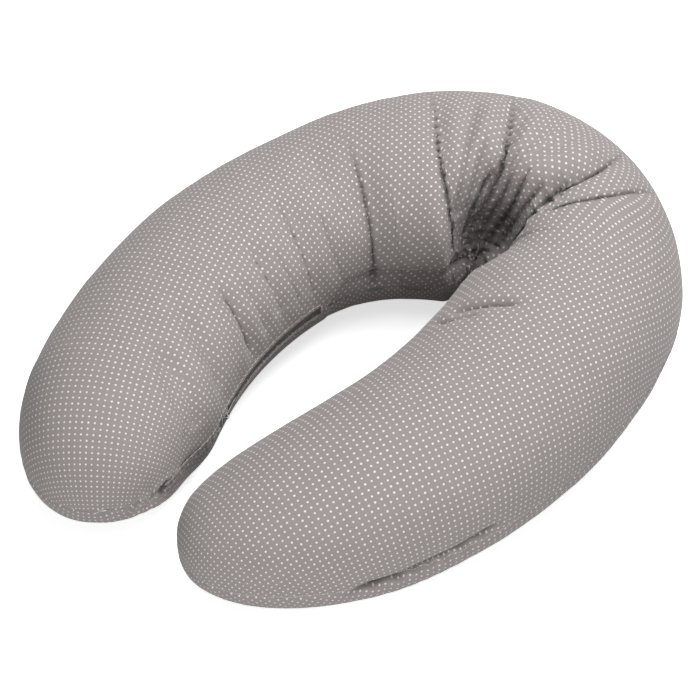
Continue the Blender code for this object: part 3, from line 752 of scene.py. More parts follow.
def stitch_mesh(name, lines, pitch, radius):
    """Stitches along lines of points with normals: short bowed rods whose ends dive into the cloth."""
    even = [resample(line, pitch) for line in lines]
    spots, ups = (np.concatenate(parts) for parts in zip(*even))
    ahead = unit(np.concatenate([np.gradient(points, axis=0) for points, _ in even]))
    side = unit(np.cross(ups, ahead), 1e-9)
    up = np.cross(ahead, side)
    share = np.array([-0.5, -0.42, -0.15, 0.15, 0.42, 0.5])
    girth = np.array([0.4, 0.9, 1.0, 1.0, 0.9, 0.4]) * radius
    lift = 0.9 * radius - 8.0 * radius * share**2
    angle = full_circle(5)
    middle = spots[:, None] + ahead[:, None] * (share * pitch * STITCH_OVERHANG)[None, :, None]
    middle = middle + up[:, None] * lift[None, :, None]
    ring = side[:, None] * np.cos(angle)[None, :, None] + up[:, None] * np.sin(angle)[None, :, None]
    vertices = middle[:, :, None] + ring[:, None] * girth[None, :, None, None]
    sides, rings = len(angle), len(share)
    spoke = np.arange(sides)
    first = (np.arange(len(spots)) * rings * sides)[:, None, None]
    low = np.arange(rings - 1)[:, None] * sides
    onward = (spoke + 1) % sides
    quads = np.stack([low + sides + spoke, low + sides + onward, low + onward, low + spoke], axis=-1)
    quads = quads.reshape(-1, 4) + first
    caps = np.stack([spoke, spoke[::-1] + (rings - 1) * sides]) + first
    faces = quads.reshape(-1, 4).tolist() + caps.reshape(-1, sides).tolist()
    mesh = bpy.data.meshes.new(name)
    mesh.from_pydata(vertices.reshape(-1, 3).tolist(), [], faces)
    fix_normals(mesh)
    return mesh


def fix_normals(mesh):
    """Turns every face of the closed shells outwards."""
    shape = bmesh.new()
    shape.from_mesh(mesh)
    bmesh.ops.recalc_face_normals(shape, faces=shape.faces)
    shape.to_mesh(mesh)
    shape.free()
    mesh.shade_smooth()


def eased_copy(node, finish, width):
    """A merged copy of a small CAD solid with its edges rounded over."""
    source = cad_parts[node]
    mesh = source.data.copy()
    mesh.name = f"{node}_eased"
    mesh.materials.clear()
    shape = bmesh.new()
    shape.from_mesh(mesh)
    bmesh.ops.remove_doubles(shape, verts=shape.verts, dist=0.01 * MM)
    bmesh.ops.dissolve_limit(
        shape, angle_limit=math.radians(2.0), use_dissolve_boundaries=False, verts=shape.verts,
        edges=shape.edges,
    )
    bmesh.ops.recalc_face_normals(shape, faces=shape.faces)
    shape.to_mesh(mesh)
    shape.free()
    mesh.shade_smooth()
    mesh.set_sharp_from_angle(angle=math.radians(35.0))
    made = add_object(mesh, finish)
    rounding = made.modifiers.new("rounded edges", "BEVEL")
    rounding.width = width
    rounding.segments = 3
    rounding.limit_method = "ANGLE"
    rounding.angle_limit = math.radians(32.0)
    rounding.harden_normals = True
    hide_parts(node)
    return made


def add_object(mesh, finish):
    """An object of the mesh's own name, with one finish."""
    made = bpy.data.objects.new(mesh.name, mesh)
    mesh.materials.append(MATERIALS[finish])
    bpy.context.scene.collection.objects.link(made)
    return made


def unrolled(power, full):
    """How much longer the way down a section's side is than it is wide, by height from 0 at the crown.

    Both are shares of the half width: the arc length of a superellipse quarter less its width.
    """
    angle = np.linspace(math.pi / 2, 0.0, 400)
    wide = np.cos(angle) ** (2 / power)
    high = full * np.sin(angle) ** (2 / power)
    way = np.concatenate([[0.0], np.cumsum(np.hypot(np.diff(wide), np.diff(high)))])
    return 1 - high / full, way - wide


def cloth_uv(crescent, along, turn, base, normals, hollowed):
    """Flat cloth positions of the grid's points: the upper panel once for each gore, and the lower.

    A point is unrolled by moving it outwards, in plan, by what its section's side adds to its width.
    Near the outer seam the cloth lies in one piece: a line well outside the crown is laid out at its
    true length, turning by the cut's own curve, and the rest lies square to it. Inside the bend each
    gore between two folds keeps its own lengths along every column and down every ring, over the broad
    hollow, and hangs from that outer cloth.
    """
    half = len(turn) // 2
    sizes = crescent.sizes
    x, y, heading = crescent.centreline(along)
    plan = base + crescent.centre
    off_x, off_y = plan[..., 0] - x[:, None], plan[..., 1] - y[:, None]
    ahead = np.stack([np.cos(heading), np.sin(heading)])[:, :, None]
    across = -ahead[1] * off_x + ahead[0] * off_y
    level = np.maximum(np.hypot(normals[..., 0], normals[..., 1]), 1e-6)
    lean_on = (ahead[0] * normals[..., 0] + ahead[1] * normals[..., 1]) / level
    lean_out = (ahead[0] * normals[..., 1] - ahead[1] * normals[..., 0]) / level
    width = crescent.half_width(along)[:, None]
    full_height = 2 * sizes.fullness * width - crescent.seam
    fall_top = np.clip(1 - (base[..., 2] - crescent.seam) / full_height, 0.0, 1.0)
    fall_bottom = np.clip(base[..., 2] / crescent.seam, 0.0, 1.0)
    extra_top = width * np.interp(fall_top, *unrolled(UPPER_POWER, 1.0))
    extra_bottom = width * np.interp(fall_bottom, *unrolled(LOWER_POWER, 0.55))
    cut = np.array(CUT_TURNS)
    angle = np.interp(along, cut[:, 0], np.radians(cut[:, 1]))
    turning = -np.gradient(heading, along)
    line_out = GUIDE_OUT * width[:, 0]
    line_flat = line_out + width[:, 0] * GUIDE_EXTRA
    spread = np.gradient(along) * (1 + turning * line_out)
    flat_x, flat_y = np.cumsum(spread * np.cos(angle)), np.cumsum(-spread * np.sin(angle))

    def lay(onward, outward):
        outward = outward - line_flat[:, None]
        u = flat_x[:, None] + np.sin(angle)[:, None] * outward + np.cos(angle)[:, None] * onward
        v = flat_y[:, None] + np.cos(angle)[:, None] * outward - np.sin(angle)[:, None] * onward
        return np.stack([u, v], axis=-1)

    columns = np.arange(half + 1)
    lower_columns = (half + columns) % len(turn)
    outward = (across + lean_out * extra_top)[:, columns]
    outer = lay((lean_on * extra_top)[:, columns], outward)
    lower_out = (across + lean_out * extra_bottom)[:, lower_columns]
    lower = lay((lean_on * extra_bottom)[:, lower_columns], lower_out)
    hinge = int(half * HINGE_SHARE)
    inward = blend(1.0, 0.0, (columns - hinge + 0.10 * half) / (0.24 * half))[None, :]
    window = ramp(along - 0.44, 0.05) * drop(along - 0.88, 0.10)
    inward = (inward * window[:, None])[..., None]
    cloth = hollowed[:, columns]
    lengths = np.cumsum(np.linalg.norm(np.diff(cloth, axis=0, prepend=cloth[:1]), axis=-1), axis=0)
    way = np.cumsum(np.linalg.norm(np.diff(cloth, axis=1, prepend=cloth[:, :1]), axis=-1), axis=1)
    hung = outward[:, [hinge]] + way - way[:, [hinge]]
    gores = []
    for middle in GORES:
        row = int(np.searchsorted(along, middle))
        onward = lengths - lengths[row]
        tilt = angle[row]
        u = np.cos(tilt) * onward + np.sin(tilt) * hung
        v = np.cos(tilt) * hung - np.sin(tilt) * onward
        strip = np.stack([u, v], axis=-1)
        strip += outer[row, hinge] - strip[row, hinge]
        gores.append(outer + (strip - outer) * inward)
    return [outer, *gores], lower


def gore_of(along, turn):
    """Which gore each place on the upper panel belongs to: how many of the fold lines it lies beyond."""
    count = np.zeros(np.broadcast(along, turn).shape, dtype=np.int64)
    for line in GORE_LINES:
        line = np.array(line)
        order = np.argsort(line[:, 1])
        count += along > np.interp(turn, np.radians(line[order, 1]), line[order, 0])
    return count


def face_corners(mesh):
    """Each face corner's vertex and face, and how many faces there are."""
    corners = np.zeros(len(mesh.loops), dtype=np.int64)
    mesh.loops.foreach_get("vertex_index", corners)
    totals = np.zeros(len(mesh.polygons), dtype=np.int64)
    mesh.polygons.foreach_get("loop_total", totals)
    return corners, np.repeat(np.arange(len(totals)), totals), len(totals)


def face_extreme(pick, begin, count, face_of, values):
    """The highest or lowest value among each face's corners."""
    found = np.full(count, begin, dtype=np.int64)
    pick.at(found, face_of, values)
    return found


def lay_uv(mesh, uv):
    mesh.uv_layers.new(name="cloth").data.foreach_set("uv", uv.astype(np.float32).ravel())


def write_band_uv(mesh, along, grid):
    """Cloth positions of a strip: the distance along, and the way round its section."""
    rows, columns = grid.shape[:2]
    ring = grid[rows // 2]
    way = run_lengths(np.concatenate([ring, ring[:1]]))
    corners, face_of, count = face_corners(mesh)
    at_tip = corners >= rows * columns
    row = np.where(at_tip, np.where(corners == rows * columns, 0, rows - 1), corners // columns)
    column = np.where(at_tip, 0, corners % columns)
    highest = face_extreme(np.maximum, 0, count, face_of, column)
    column = np.where((column == 0) & (highest[face_of] == columns - 1), columns, column)
    lay_uv(mesh, np.stack([along[row], way[column]], axis=1))


def write_uv(mesh, along, turn, flat):
    """Gives every face corner its flat cloth position, from the upper or the lower panel's layout."""
    rows, columns = len(along), len(turn)
    half = columns // 2
    panels, lower_panel = flat
    corners, face_of, count = face_corners(mesh)
    row = np.clip(corners // columns, 0, rows - 1)
    row = np.where(corners == rows * columns, 0, row)
    at_tip = corners >= rows * columns
    column = corners % columns
    highest = face_extreme(np.maximum, 0, count, face_of, np.where(at_tip, -1, column))
    lowest = face_extreme(np.minimum, columns, count, face_of, np.where(at_tip, columns, column))
    wraps = (lowest == 0) & (highest == columns - 1)
    in_lower = (wraps | (lowest >= half))[face_of]
    column = np.where(at_tip, lowest[face_of], column)
    lowest_row = face_extreme(np.minimum, rows, count, face_of, row)
    gore = gore_of(along[lowest_row], turn[np.clip(lowest, 0, columns - 1)])[face_of]
    upper_uv = np.stack(panels)[gore, row, np.minimum(column, half)]
    lower_column = np.where(in_lower & (column == 0), columns, column) - half
    lower_uv = lower_panel[row, np.clip(lower_column, 0, half)]
    lay_uv(mesh, np.where(in_lower[:, None], lower_uv, upper_uv))


# ---------------------------------------------------------------------------------------------
# Materials


def add_group(name, inputs, outputs):
    """A shader node group with named sockets, and its input and output nodes."""
    group = bpy.data.node_groups.new(name, "ShaderNodeTree")
    for label, kind, value in inputs:
        socket = group.interface.new_socket(label, in_out="INPUT", socket_type=kind)
        if value is not None:
            socket.default_value = value
    for label, kind in outputs:
        group.interface.new_socket(label, in_out="OUTPUT", socket_type=kind)
    return group, group.nodes.new("NodeGroupInput"), group.nodes.new("NodeGroupOutput")


def feed(tree, node, **values):
    """Sets or links a node's inputs, by name or as i and their number."""
    for label, value in values.items():
        numbered = label[1:].isdigit()
        socket = node.inputs[int(label[1:]) if numbered else label.replace("_", " ")]
        if isinstance(value, bpy.types.NodeSocket):
            tree.links.new(value, socket)
        else:
            socket.default_value = value
    return node


def put(tree, kind, settings=None, **values):
    """A new node with its settings and its input values or links."""
    node = tree.nodes.new(kind)
    for label, value in (settings or {}).items():
        setattr(node, label, value)
    return feed(tree, node, **values)


def calculate(tree, operation, first, second=0.0, third=0.0):
    return put(tree, "ShaderNodeMath", {"operation": operation}, i0=first, i1=second, i2=third).outputs[0]


def vector_math(tree, operation, first, *others, **more):
    inputs = {f"i{number}": value for number, value in enumerate((first, *others))}
    return put(tree, "ShaderNodeVectorMath", {"operation": operation}, **inputs, **more).outputs


def noise(tree, place, scale, detail):
    return put(tree, "ShaderNodeTexNoise", Vector=place, Scale=scale, Detail=detail).outputs


def mixed(tree, share, first, second, kind="MIX"):
    """The second colour laid over the first by a share, or multiplied with it."""
    settings = {"data_type": "RGBA", "blend_type": kind}
    return put(tree, "ShaderNodeMix", settings, i0=share, i6=first, i7=second).outputs[2]


def grey(tree, tone):
    return put(tree, "ShaderNodeCombineColor", Red=tone, Green=tone, Blue=tone).outputs[0]


def opaque(rgb, brightness=1.0):
    return (*[brightness * part for part in rgb], 1.0)


def spot_group():
    """Round dots on a square grid: 1 inside a dot of the cell's own slightly varied radius."""
    group, given, result = add_group(
        "pin dots",
        (
            ("Position", "NodeSocketVector", None),
            ("Pitch", "NodeSocketFloat", 0.007),
            ("Radius", "NodeSocketFloat", 0.001),
            ("Blur", "NodeSocketFloat", 0.0003),
        ),
        (("Mask", "NodeSocketFloat"),),
    )
    position, pitch, wanted, blur = (given.outputs[i] for i in range(4))
    ragged = noise(group, position, 900.0, 1.0)[0]
    scaled = vector_math(group, "SCALE", position, Scale=calculate(group, "DIVIDE", 1.0, pitch))[0]
    cell = vector_math(group, "FLOOR", scaled)[0]
    local = vector_math(group, "SUBTRACT", scaled, cell)[0]
    chance = put(group, "ShaderNodeTexWhiteNoise", {"noise_dimensions": "2D"}, Vector=cell)
    middle = vector_math(group, "SUBTRACT", local, (0.5, 0.5, 0.0))[0]
    flat = vector_math(group, "MULTIPLY", middle, (1.0, 1.0, 0.0))[0]
    distance = calculate(group, "MULTIPLY", vector_math(group, "LENGTH", flat)["Value"], pitch)
    uneven = calculate(group, "MULTIPLY_ADD", chance.outputs["Value"], 0.22, 0.80)
    uneven = calculate(group, "MULTIPLY_ADD", ragged, 0.20, uneven)
    inside = calculate(group, "SUBTRACT", calculate(group, "MULTIPLY", wanted, uneven), distance)
    edge = calculate(group, "DIVIDE", inside, blur)
    mask = put(group, "ShaderNodeClamp", Value=calculate(group, "ADD", edge, 0.5)).outputs[0]
    feed(group, result, Mask=mask)
    return group


def weave_group():
    """Plain weave: the threads of both ways as sine ridges that take turns to lie on top."""
    group, given, result = add_group(
        "plain weave",
        (("Position", "NodeSocketVector", None), ("Thread", "NodeSocketFloat", 0.0004)),
        (("Height", "NodeSocketFloat"), ("Slub", "NodeSocketFloat")),
    )
    position = given.outputs["Position"]
    wobble = noise(group, position, 260.0, 1.0)["Color"]
    shifted = vector_math(group, "MULTIPLY_ADD", wobble, (0.0004, 0.0004, 0.0), position)[0]
    apart = put(group, "ShaderNodeSeparateXYZ", Vector=shifted)
    rate = calculate(group, "DIVIDE", math.pi, given.outputs["Thread"])
    first, second = (
        calculate(group, "SINE", calculate(group, "MULTIPLY", apart.outputs[axis], rate)) for axis in (0, 1)
    )
    height = calculate(group, "ABSOLUTE", calculate(group, "MULTIPLY", first, second))
    stretched = vector_math(group, "MULTIPLY", position, (90.0, 1400.0, 1.0))[0]
    feed(group, result, Height=height, Slub=noise(group, stretched, 1.0, 2.0)[0])
    return group


def new_material(name):
    made = bpy.data.materials.new(name)
    made.use_nodes = True
    tree = made.node_tree
    return made, tree, tree.nodes["Principled BSDF"]


def dotted_cotton(look, groups):
    """Printed cotton: ground colour with soft mottling, white dots, weave bump and a faint sheen.

    A painted shade attribute darkens the cloth's colour inside the cracks of the folds, in the tuck and the
    lap, and over the bend's inner corner.
    """
    made, tree, shader = new_material("printed_cotton")
    place = put(tree, "ShaderNodeUVMap", {"uv_map": "cloth"}).outputs[0]
    dots = put(
        tree, "ShaderNodeGroup", {"node_tree": groups["dots"]}, Position=place, Pitch=look.dot_pitch,
        Radius=look.dot_radius, Blur=0.0006,
    )
    weave = put(tree, "ShaderNodeGroup", {"node_tree": groups["weave"]}, Position=place, Thread=0.0004)
    tone = calculate(tree, "MULTIPLY_ADD", noise(tree, place, 38.0, 3.0)[0], 0.10, 0.95)
    tone = calculate(tree, "SUBTRACT", tone, 0.05)
    tone = calculate(tree, "MULTIPLY_ADD", weave.outputs["Slub"], 0.10, tone)
    ground = mixed(tree, 1.0, opaque(look.ground), grey(tree, tone), "MULTIPLY")
    printed = mixed(tree, dots.outputs["Mask"], ground, opaque(look.dot))
    # Painted shade: the shade mask attribute darkens the base colour by up to 85% in cracks, the tuck, the
    # lap and the bend's inner corner.
    depth = put(tree, "ShaderNodeAttribute", {"attribute_name": "painted_shade_mask"}).outputs["Fac"]
    painted_shade_tone = calculate(tree, "MULTIPLY_ADD", depth, -0.85, 1.0)
    bump = put(tree, "ShaderNodeBump", Height=weave.outputs["Height"], Strength=0.25, Distance=0.00012)
    feed(
        tree, shader, Base_Color=mixed(tree, 1.0, printed, grey(tree, painted_shade_tone), "MULTIPLY"),
        Normal=bump.outputs[0], Roughness=0.88, Specular_IOR_Level=0.25, Sheen_Weight=0.25,
        Sheen_Roughness=0.5, Sheen_Tint=(0.9, 0.88, 0.88, 1.0),
    )
    return made


def plain_cloth(name, rgb, groups, thread, roughness):
    """Undyed or dyed plain cloth on object coordinates, with weave bump and slubs."""
    made, tree, shader = new_material(name)
    place = put(tree, "ShaderNodeTexCoord").outputs["Object"]
    turned = put(tree, "ShaderNodeMapping", Vector=place, Rotation=(0.6, 0.5, 0.4)).outputs[0]
    weave = put(tree, "ShaderNodeGroup", {"node_tree": groups["weave"]}, Position=turned, Thread=thread)
    tone = calculate(tree, "MULTIPLY_ADD", weave.outputs["Slub"], 0.30, 0.85)
    bump = put(tree, "ShaderNodeBump", Height=weave.outputs["Height"], Strength=0.5, Distance=0.0002)
    feed(
        tree, shader, Base_Color=mixed(tree, 1.0, opaque(rgb), grey(tree, tone), "MULTIPLY"),
        Normal=bump.outputs[0], Roughness=roughness,
    )
    return made


def rubbed(name, rgb, grain, detail, tints, roughness, metallic=0.0):
    """A hard surface that is paler and duller where handling has rubbed it, by noise.

    The tints are the colour's least and greatest brightness, and the roughness is its spread and least.
    """
    made, tree, shader = new_material(name)
    rub = noise(tree, put(tree, "ShaderNodeTexCoord").outputs["Object"], grain, detail)[0]
    feed(
        tree, shader, Base_Color=mixed(tree, rub, *(opaque(rgb, tint) for tint in tints)),
        Roughness=calculate(tree, "MULTIPLY_ADD", rub, *roughness), Metallic=metallic,
    )
    return made


def studio_white():
    """Floor: the camera sees it white with soft shadows, and it throws little light back up."""
    made, tree, shader = new_material("studio_white")
    grain = put(tree, "ShaderNodeTexNoise", Scale=3.0).outputs[0]
    feed(
        tree, shader, Base_Color=grey(tree, calculate(tree, "MULTIPLY_ADD", grain, 0.01, 0.93)),
        Roughness=1.0, Specular_IOR_Level=0.0, Emission_Color=(1.0, 1.0, 1.0, 1.0),
        Emission_Strength=0.66,
    )
    dim = put(tree, "ShaderNodeBsdfDiffuse", Color=(0.33, 0.33, 0.33, 1.0))
    seen_otherwise(tree, dim, shader, "Material Output")
    return made


def seen_otherwise(tree, usual, to_camera, output):
    """Joins two shaders to an output: one for the camera's own rays, and one for all other light."""
    sight = put(tree, "ShaderNodeLightPath").outputs["Is Camera Ray"]
    shown = put(tree, "ShaderNodeMixShader", i0=sight, i1=usual.outputs[0], i2=to_camera.outputs[0])
    feed(tree, tree.nodes[output], Surface=shown.outputs[0])


def build_materials(cloth):
    groups = {"dots": spot_group(), "weave": weave_group()}
    made = {"cotton": dotted_cotton(cloth, groups)}
    for finish, name, rgb, thread, roughness in (
        ("liner", "liner_cloth", (0.80, 0.79, 0.76), 0.0005, 0.85),
        ("tape", "zip_tape_cloth", (0.225, 0.198, 0.190), 0.0006, 0.85),
        ("thread", "spun_thread", (0.56, 0.53, 0.52), 0.0003, 0.7),
        ("label", "label_ribbon", (0.84, 0.84, 0.83), 0.0003, 0.5),
        ("beads", "bead_surface", (0.90, 0.90, 0.89), 0.004, 0.6),
    ):
        made[finish] = plain_cloth(name, rgb, groups, thread, roughness)
    nylon, metal = (0.250, 0.222, 0.214), (0.28, 0.27, 0.26)
    made["coil"] = rubbed("zip_coil_nylon", nylon, 300.0, 3.0, (0.85, 1.2), (0.20, 0.32))
    made["metal"] = rubbed("zip_painted_metal", metal, 420.0, 4.0, (0.8, 1.25), (0.25, 0.22), 0.8)
    return made


MATERIALS = {}
SEAM_LINES = {}


# ---------------------------------------------------------------------------------------------
# Operators


class PILLOW_OT_finishes(bpy.types.Operator):
    """Make every material"""

    bl_idname = "pillow.finishes"
    bl_label = "Finishes"

    def execute(self, context):
        MATERIALS.update(build_materials(context.scene.pillow_cloth))
        return {"FINISHED"}


class PILLOW_OT_cover(bpy.types.Operator):
    """Make the stuffed cotton cover with its folds"""

    bl_idname = "pillow.cover"
    bl_label = "Cover"

    def execute(self, context):
        sizes = context.scene.pillow_sizes
        crescent = Crescent(sizes)
        along = even_rings(crescent, sizes.ring_spacing)
        turn = even_turns(crescent, sizes.round_steps)
        base = crescent.surface(along, turn)
        normals = surface_normals(base)
        pressed, painted_shade_mask = press_folds(crescent, along, turn, base, normals)
        pressed = buckle(along, turn, base, normals, pressed)
        pressed, tuck_shade = gather_zip_end(along, turn, pressed, normals)
        pressed, lap_shade = tuck_underside(along, turn, pressed, normals)
        # Painted shade: the crack, tuck and lap shades join into one mask that darkens the cloth's colour.
        painted_shade_mask = np.maximum(painted_shade_mask, np.maximum(tuck_shade, lap_shade))
        # A broad painted shade over the inner corner of the bend, where the cloth lies in shade.
        corner = ((along[:, None] - 0.665) / 0.035) ** 2 + ((turn[None, :] - 0.42) / 0.36) ** 2
        painted_shade_mask = np.maximum(painted_shade_mask, 0.38 * np.exp(-corner))
        shaped = soften(context.scene.pillow_zip, along, turn, pressed, surface_normals(pressed))
        shaped[..., 2] = np.maximum(shaped[..., 2], 0.0)
        SEAM_LINES.update(seam_lines(context.scene.pillow_zip, along, turn, shaped))
        mesh = crescent_mesh("pillow_cover", shaped)
        hollowed = press_folds(crescent, along, turn, base, normals, FOLDS[:1])[0]
        write_uv(mesh, along, turn, cloth_uv(crescent, along, turn, base, normals, hollowed))
        # The painted shade mask is stored on the cover's points, for its material to darken the colour by.
        painted_shade_layer = mesh.attributes.new("painted_shade_mask", "FLOAT", "POINT")
        painted_shade_layer.data.foreach_set("value", np.append(painted_shade_mask.ravel(), [0.0, 0.0]).astype(np.float32))
        cover = add_object(mesh, "cotton")
        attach(cover, "pillow")
        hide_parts("cover_top_panel", "cover_bottom_panel")
        return {"FINISHED"}


class PILLOW_OT_inner_bag(bpy.types.Operator):
    """Make the liner bag and its filling inside the cover"""

    bl_idname = "pillow.inner_bag"
    bl_label = "Liner and filling"

    def execute(self, context):
        sizes = context.scene.pillow_sizes
        crescent = Crescent(sizes)
        along = even_rings(crescent, 4 * sizes.ring_spacing)
        turn = even_turns(crescent, sizes.round_steps // 4)
        liner_nodes = ("liner_top_panel", "liner_bottom_panel", "liner_seam_thread")
        layers = (
            ("liner_bag", LINER_INSET, "liner", "liner_cotton", liner_nodes),
            ("bead_mass", FILLING_INSET, "beads", "bead_filling", ("bead_filling",)),
        )
        for name, inset, finish, slot, nodes in layers:
            base = crescent.surface(along, turn, inset)
            normals = surface_normals(base)
            shaped = press_folds(crescent, along, turn, base, normals)[0]
            over_top = np.clip(np.sin(turn) * 3 + 1, 0, 1)[None, :]
            bend = bell(along - 0.68, 0.07)[:, None] * over_top
            shaped = shaped - normals * (LAYER_SINK * bend)[..., None]
            layer = add_object(crescent_mesh(name, shaped), finish)
            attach(layer, "pillow")
            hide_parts(*nodes)
        return {"FINISHED"}


class PILLOW_OT_placket(bpy.types.Operator):
    """Make the two cotton lips of the placket beside the zip"""

    bl_idname = "pillow.placket"
    bl_label = "Placket"

    def execute(self, context):
        sizes = context.scene.pillow_zip
        crescent = Crescent(context.scene.pillow_sizes)
        along = np.arange(sizes.placket_start, sizes.end + MM, 1.2 * MM)
        closed = drop(along - sizes.start + 0.022, 0.020)
        tip = ramp(along - sizes.placket_start, 0.012)
        drawn = cover_draw(along)
        for word, side in SIDES:
            wave = 0.35 * MM * np.sin(2 * math.pi * along / 0.013 + side)
            wave += 0.25 * MM * np.sin(along * 911.0)
            across = crescent.half_width(along) * crescent.fade(along) + 0.6 * MM + wave - drawn
            across = across - 2.0 * MM * (1 - tip)
            height = side * (sizes.slot_half + 2.6 * MM - 4.4 * MM * closed) + 0.4 * wave
            half_height = (2.0 + 0.6 * closed[:, None]) * MM
            grid = band_grid(crescent, along, across[:, None], height[:, None], 0.75 * MM, half_height)
            mesh = crescent_mesh(f"placket_lip_{word}", grid)
            write_band_uv(mesh, along, grid)
            lip = add_object(mesh, "cotton")
            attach(lip, "pillow")
            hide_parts(f"zip_facing_{word}")
        return {"FINISHED"}


class PILLOW_OT_zip(bpy.types.Operator):
    """Make the zip's tapes, coils, stops, slider and pull tab"""

    bl_idname = "pillow.zip"
    bl_label = "Zip"

    def execute(self, context):
        sizes = context.scene.pillow_zip
        crescent = Crescent(context.scene.pillow_sizes)
        edge = context.scene.pillow_sizes.left_half_width
        for word, side in SIDES:
            along = np.arange(sizes.start - TAPE_SPARE, sizes.end + TAPE_SPARE, 2 * MM)
            tape = band_grid(
                crescent, along, edge - TAPE_SET_IN, side * TAPE_LEVEL, TAPE_HALF_THICKNESS, TAPE_HALF_WIDTH
            )
            made = add_object(crescent_mesh(f"zip_tape_{word}_woven", tape), "tape")
            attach(made, "pillow")
            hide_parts(f"zip_tape_{word}")
            turns = np.arange(0.0, (sizes.end - sizes.start - 5 * MM) / sizes.tooth_pitch, 1 / COIL_STEPS)
            along = sizes.start + 2.5 * MM + turns * sizes.tooth_pitch
            round_tooth = 2 * math.pi * turns + (math.pi if side < 0 else 0.0)
            across = edge - 0.6 * MM + 0.65 * MM * np.sin(round_tooth)
            height = side * (1.72 * MM - 0.95 * MM * np.cos(round_tooth))
            path = beside(crescent, along, across, height)
            heading = crescent.centreline(along)[2]
            ahead = np.stack([np.cos(heading), np.sin(heading), np.zeros(len(along))], axis=1)
            mesh = crescent_mesh(f"zip_coil_{word}_wound", tube_grid(path, ahead, COIL_WIRE))
            fix_normals(mesh)
            made = add_object(mesh, "coil")
            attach(made, "pillow")
            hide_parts(f"zip_coil_{word}")
        for node in ("zip_end_stop_upper", "zip_end_stop_lower", "zip_bottom_stop"):
            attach(eased_copy(node, "metal", 0.25 * MM), "pillow")
        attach(eased_copy("zip_slider", "metal", 0.22 * MM), "slider")
        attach(eased_copy("zip_pull_tab", "metal", 0.28 * MM), "pull_tab")
        return {"FINISHED"}


class PILLOW_OT_stitching(bpy.types.Operator):
    """Make the seam's stitches, the placket's top stitching and the bar tacks"""

    bl_idname = "pillow.stitching"
    bl_label = "Stitching"

    def execute(self, context):
        sizes = context.scene.pillow_zip
        crescent = Crescent(context.scene.pillow_sizes)
        edge = context.scene.pillow_sizes.left_half_width
        mesh = stitch_mesh("seam_stitches", list(SEAM_LINES.values()), sizes.stitch_pitch, SEAM_THREAD)
        seam = add_object(mesh, "thread")
        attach(seam, "pillow")
        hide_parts("cover_seam_thread")
        along = np.arange(sizes.start + 2 * MM, sizes.end - 2 * MM, MM)
        heading = crescent.centreline(along)[2]
        out = np.stack([np.sin(heading), -np.cos(heading), np.zeros(len(along))], axis=1)
        rows = [
            (beside(crescent, along, edge + 1.3 * MM, side * (sizes.slot_half + 1.4 * MM)), out)
            for side in (1, -1)
        ]
        mesh = stitch_mesh("placket_stitches", rows, TOP_STITCH_PITCH, TOP_STITCH_THREAD)
        top = add_object(mesh, "thread")
        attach(top, "pillow")
        for word, begin in (("closed_end", sizes.start - 2.8 * MM), ("open_end", sizes.end + 0.3 * MM)):
            turns = np.arange(0.0, TACK_TURNS, 1 / TACK_STEPS)
            sway = 1.25 * MM * np.cos(2 * math.pi * turns)
            height = (turns / TACK_TURNS - 0.5) * TACK_HEIGHT
            across = edge + 0.9 * MM + 0.35 * MM * np.sin(2 * math.pi * turns)
            path = beside(crescent, begin + 1.25 * MM + sway, across, height)
            upright = np.broadcast_to(np.array([0.0, 0.0, 1.0]), path.shape)
            mesh = crescent_mesh(f"bar_tack_{word}_sewn", tube_grid(path, upright, TACK_THREAD))
            fix_normals(mesh)
            tack = add_object(mesh, "thread")
            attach(tack, "pillow")
            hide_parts(f"bar_tack_{word}")
        return {"FINISHED"}


class PILLOW_OT_label(bpy.types.Operator):
    """Make the blank care label inside the cover"""

    bl_idname = "pillow.label"
    bl_label = "Care label"

    def execute(self, context):
        sizes = context.scene.pillow_zip
        crescent = Crescent(context.scene.pillow_sizes)
        middle = (sizes.start + sizes.end) / 2
        along = np.linspace(middle - LABEL_HALF_LENGTH, middle + LABEL_HALF_LENGTH, 30)
        depth = -context.scene.pillow_sizes.left_half_width + LABEL_DEPTH
        grid = band_grid(crescent, along, depth, 0.0, LABEL_HALF_THICKNESS, LABEL_HALF_HEIGHT)
        label = add_object(crescent_mesh("care_label_ribbon", grid), "label")
        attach(label, "pillow")
        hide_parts("care_label")
        return {"FINISHED"}


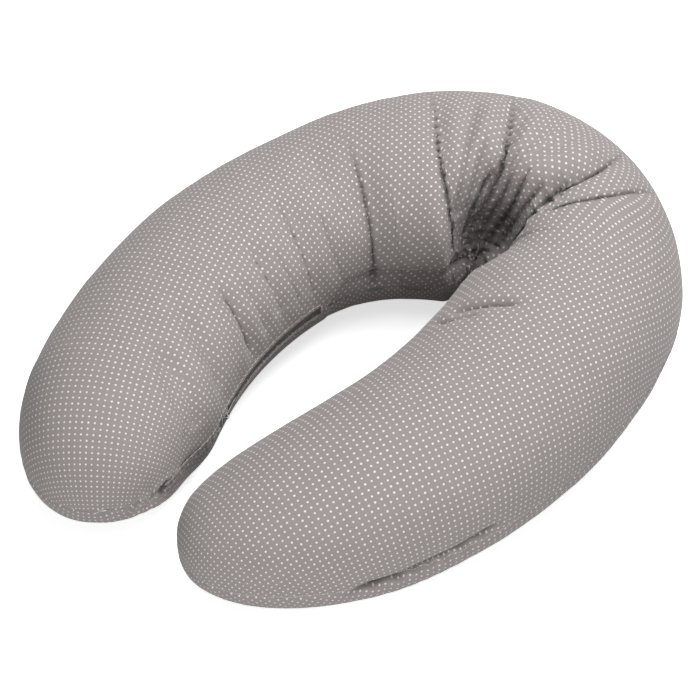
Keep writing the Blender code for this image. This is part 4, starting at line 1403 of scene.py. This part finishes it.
class PILLOW_OT_stage(bpy.types.Operator):
    """Make the floor, the lights and the camera"""

    bl_idname = "pillow.stage"
    bl_label = "Stage"

    def execute(self, context):
        scene = context.scene
        look = scene.pillow_stage
        mesh = bpy.data.meshes.new("studio_floor")
        corners = [(FLOOR_HALF * x, FLOOR_HALF * y, 0) for x, y in ((-1, -1), (1, -1), (1, 1), (-1, 1))]
        mesh.from_pydata(corners, [], [(0, 1, 2, 3)])
        floor = bpy.data.objects.new("studio_floor", mesh)
        scene.collection.objects.link(floor)
        mesh.materials.append(studio_white())
        world = bpy.data.worlds.new("studio")
        scene.world = world
        world.use_nodes = True
        tree = world.node_tree
        room = feed(tree, tree.nodes["Background"], Color=(0.97, 0.98, 1.0, 1.0), Strength=look.ambient)
        backdrop = put(tree, "ShaderNodeBackground", Color=(1.0, 1.0, 1.0, 1.0), Strength=1.0)
        seen_otherwise(tree, room, backdrop, "World Output")
        for name, spot, power, size in (
            ("key_softbox", (1.5, 0.2, 2.0), look.key_power, 1.3),
            ("top_softbox", (0.6, 0.3, 2.4), look.top_power, 2.0),
            ("front_softbox", (-1.9, -2.2, 0.75), look.front_power, 1.8),
        ):
            light = bpy.data.lights.new(name, "AREA")
            light.energy = power
            light.size = size
            lamp = bpy.data.objects.new(name, light)
            scene.collection.objects.link(lamp)
            lamp.location = spot
            lamp.rotation_euler = track(-np.array(spot))
        lens = bpy.data.cameras.new("studio_camera")
        lens.lens = look.lens
        lens.sensor_width = 36.0
        camera = bpy.data.objects.new("studio_camera", lens)
        scene.collection.objects.link(camera)
        level, height = (look.distance * part(look.elevation) for part in (math.cos, math.sin))
        back = np.array([level * math.sin(look.azimuth), -level * math.cos(look.azimuth), height])
        camera.location = np.array([0.0133, 0.0364, 0.0]) + back
        camera.rotation_euler = track(-back)
        scene.camera = camera
        scene.view_settings.view_transform = "Standard"
        return {"FINISHED"}


def track(aim):
    """Rotation that points an object's -Z along the aim with its +Y upwards."""
    flat = math.hypot(aim[0], aim[1])
    swing = math.atan2(aim[1], aim[0]) - math.pi / 2 if flat > 1e-9 else 0.0
    return (math.atan2(flat, -aim[2]), 0.0, swing)


class PILLOW_PT_panel(bpy.types.Panel):
    """Sidebar panel that lists the sizes and the steps"""

    bl_idname = "PILLOW_PT_panel"
    bl_label = "Nursing Pillow"
    bl_space_type = "VIEW_3D"
    bl_region_type = "UI"
    bl_category = "Pillow"

    def draw(self, context):
        layout = self.layout
        for name in GROUPS:
            group = getattr(context.scene, name)
            box = layout.box()
            for name in group.__annotations__:
                box.prop(group, name)
        for operator in OPERATORS:
            layout.operator(operator.bl_idname)


GROUPS = {
    "pillow_sizes": PillowSizes,
    "pillow_zip": ZipSizes,
    "pillow_cloth": ClothLook,
    "pillow_stage": StageLook,
}
OPERATORS = (
    PILLOW_OT_finishes,
    PILLOW_OT_cover,
    PILLOW_OT_inner_bag,
    PILLOW_OT_placket,
    PILLOW_OT_zip,
    PILLOW_OT_stitching,
    PILLOW_OT_label,
    PILLOW_OT_stage,
)
CLASSES = (*GROUPS.values(), *OPERATORS, PILLOW_PT_panel)


def register():
    for made in CLASSES:
        bpy.utils.register_class(made)
    for name, group in GROUPS.items():
        setattr(bpy.types.Scene, name, bpy.props.PointerProperty(type=group))


def unregister():
    for name in GROUPS:
        delattr(bpy.types.Scene, name)
    for made in reversed(CLASSES):
        bpy.utils.unregister_class(made)


def main():
    register()
    bpy.ops.pillow.finishes()
    bpy.ops.pillow.cover()
    bpy.ops.pillow.inner_bag()
    bpy.ops.pillow.placket()
    bpy.ops.pillow.zip()
    bpy.ops.pillow.stitching()
    bpy.ops.pillow.label()
    bpy.ops.pillow.stage()


if __name__ == "__main__":
    main()
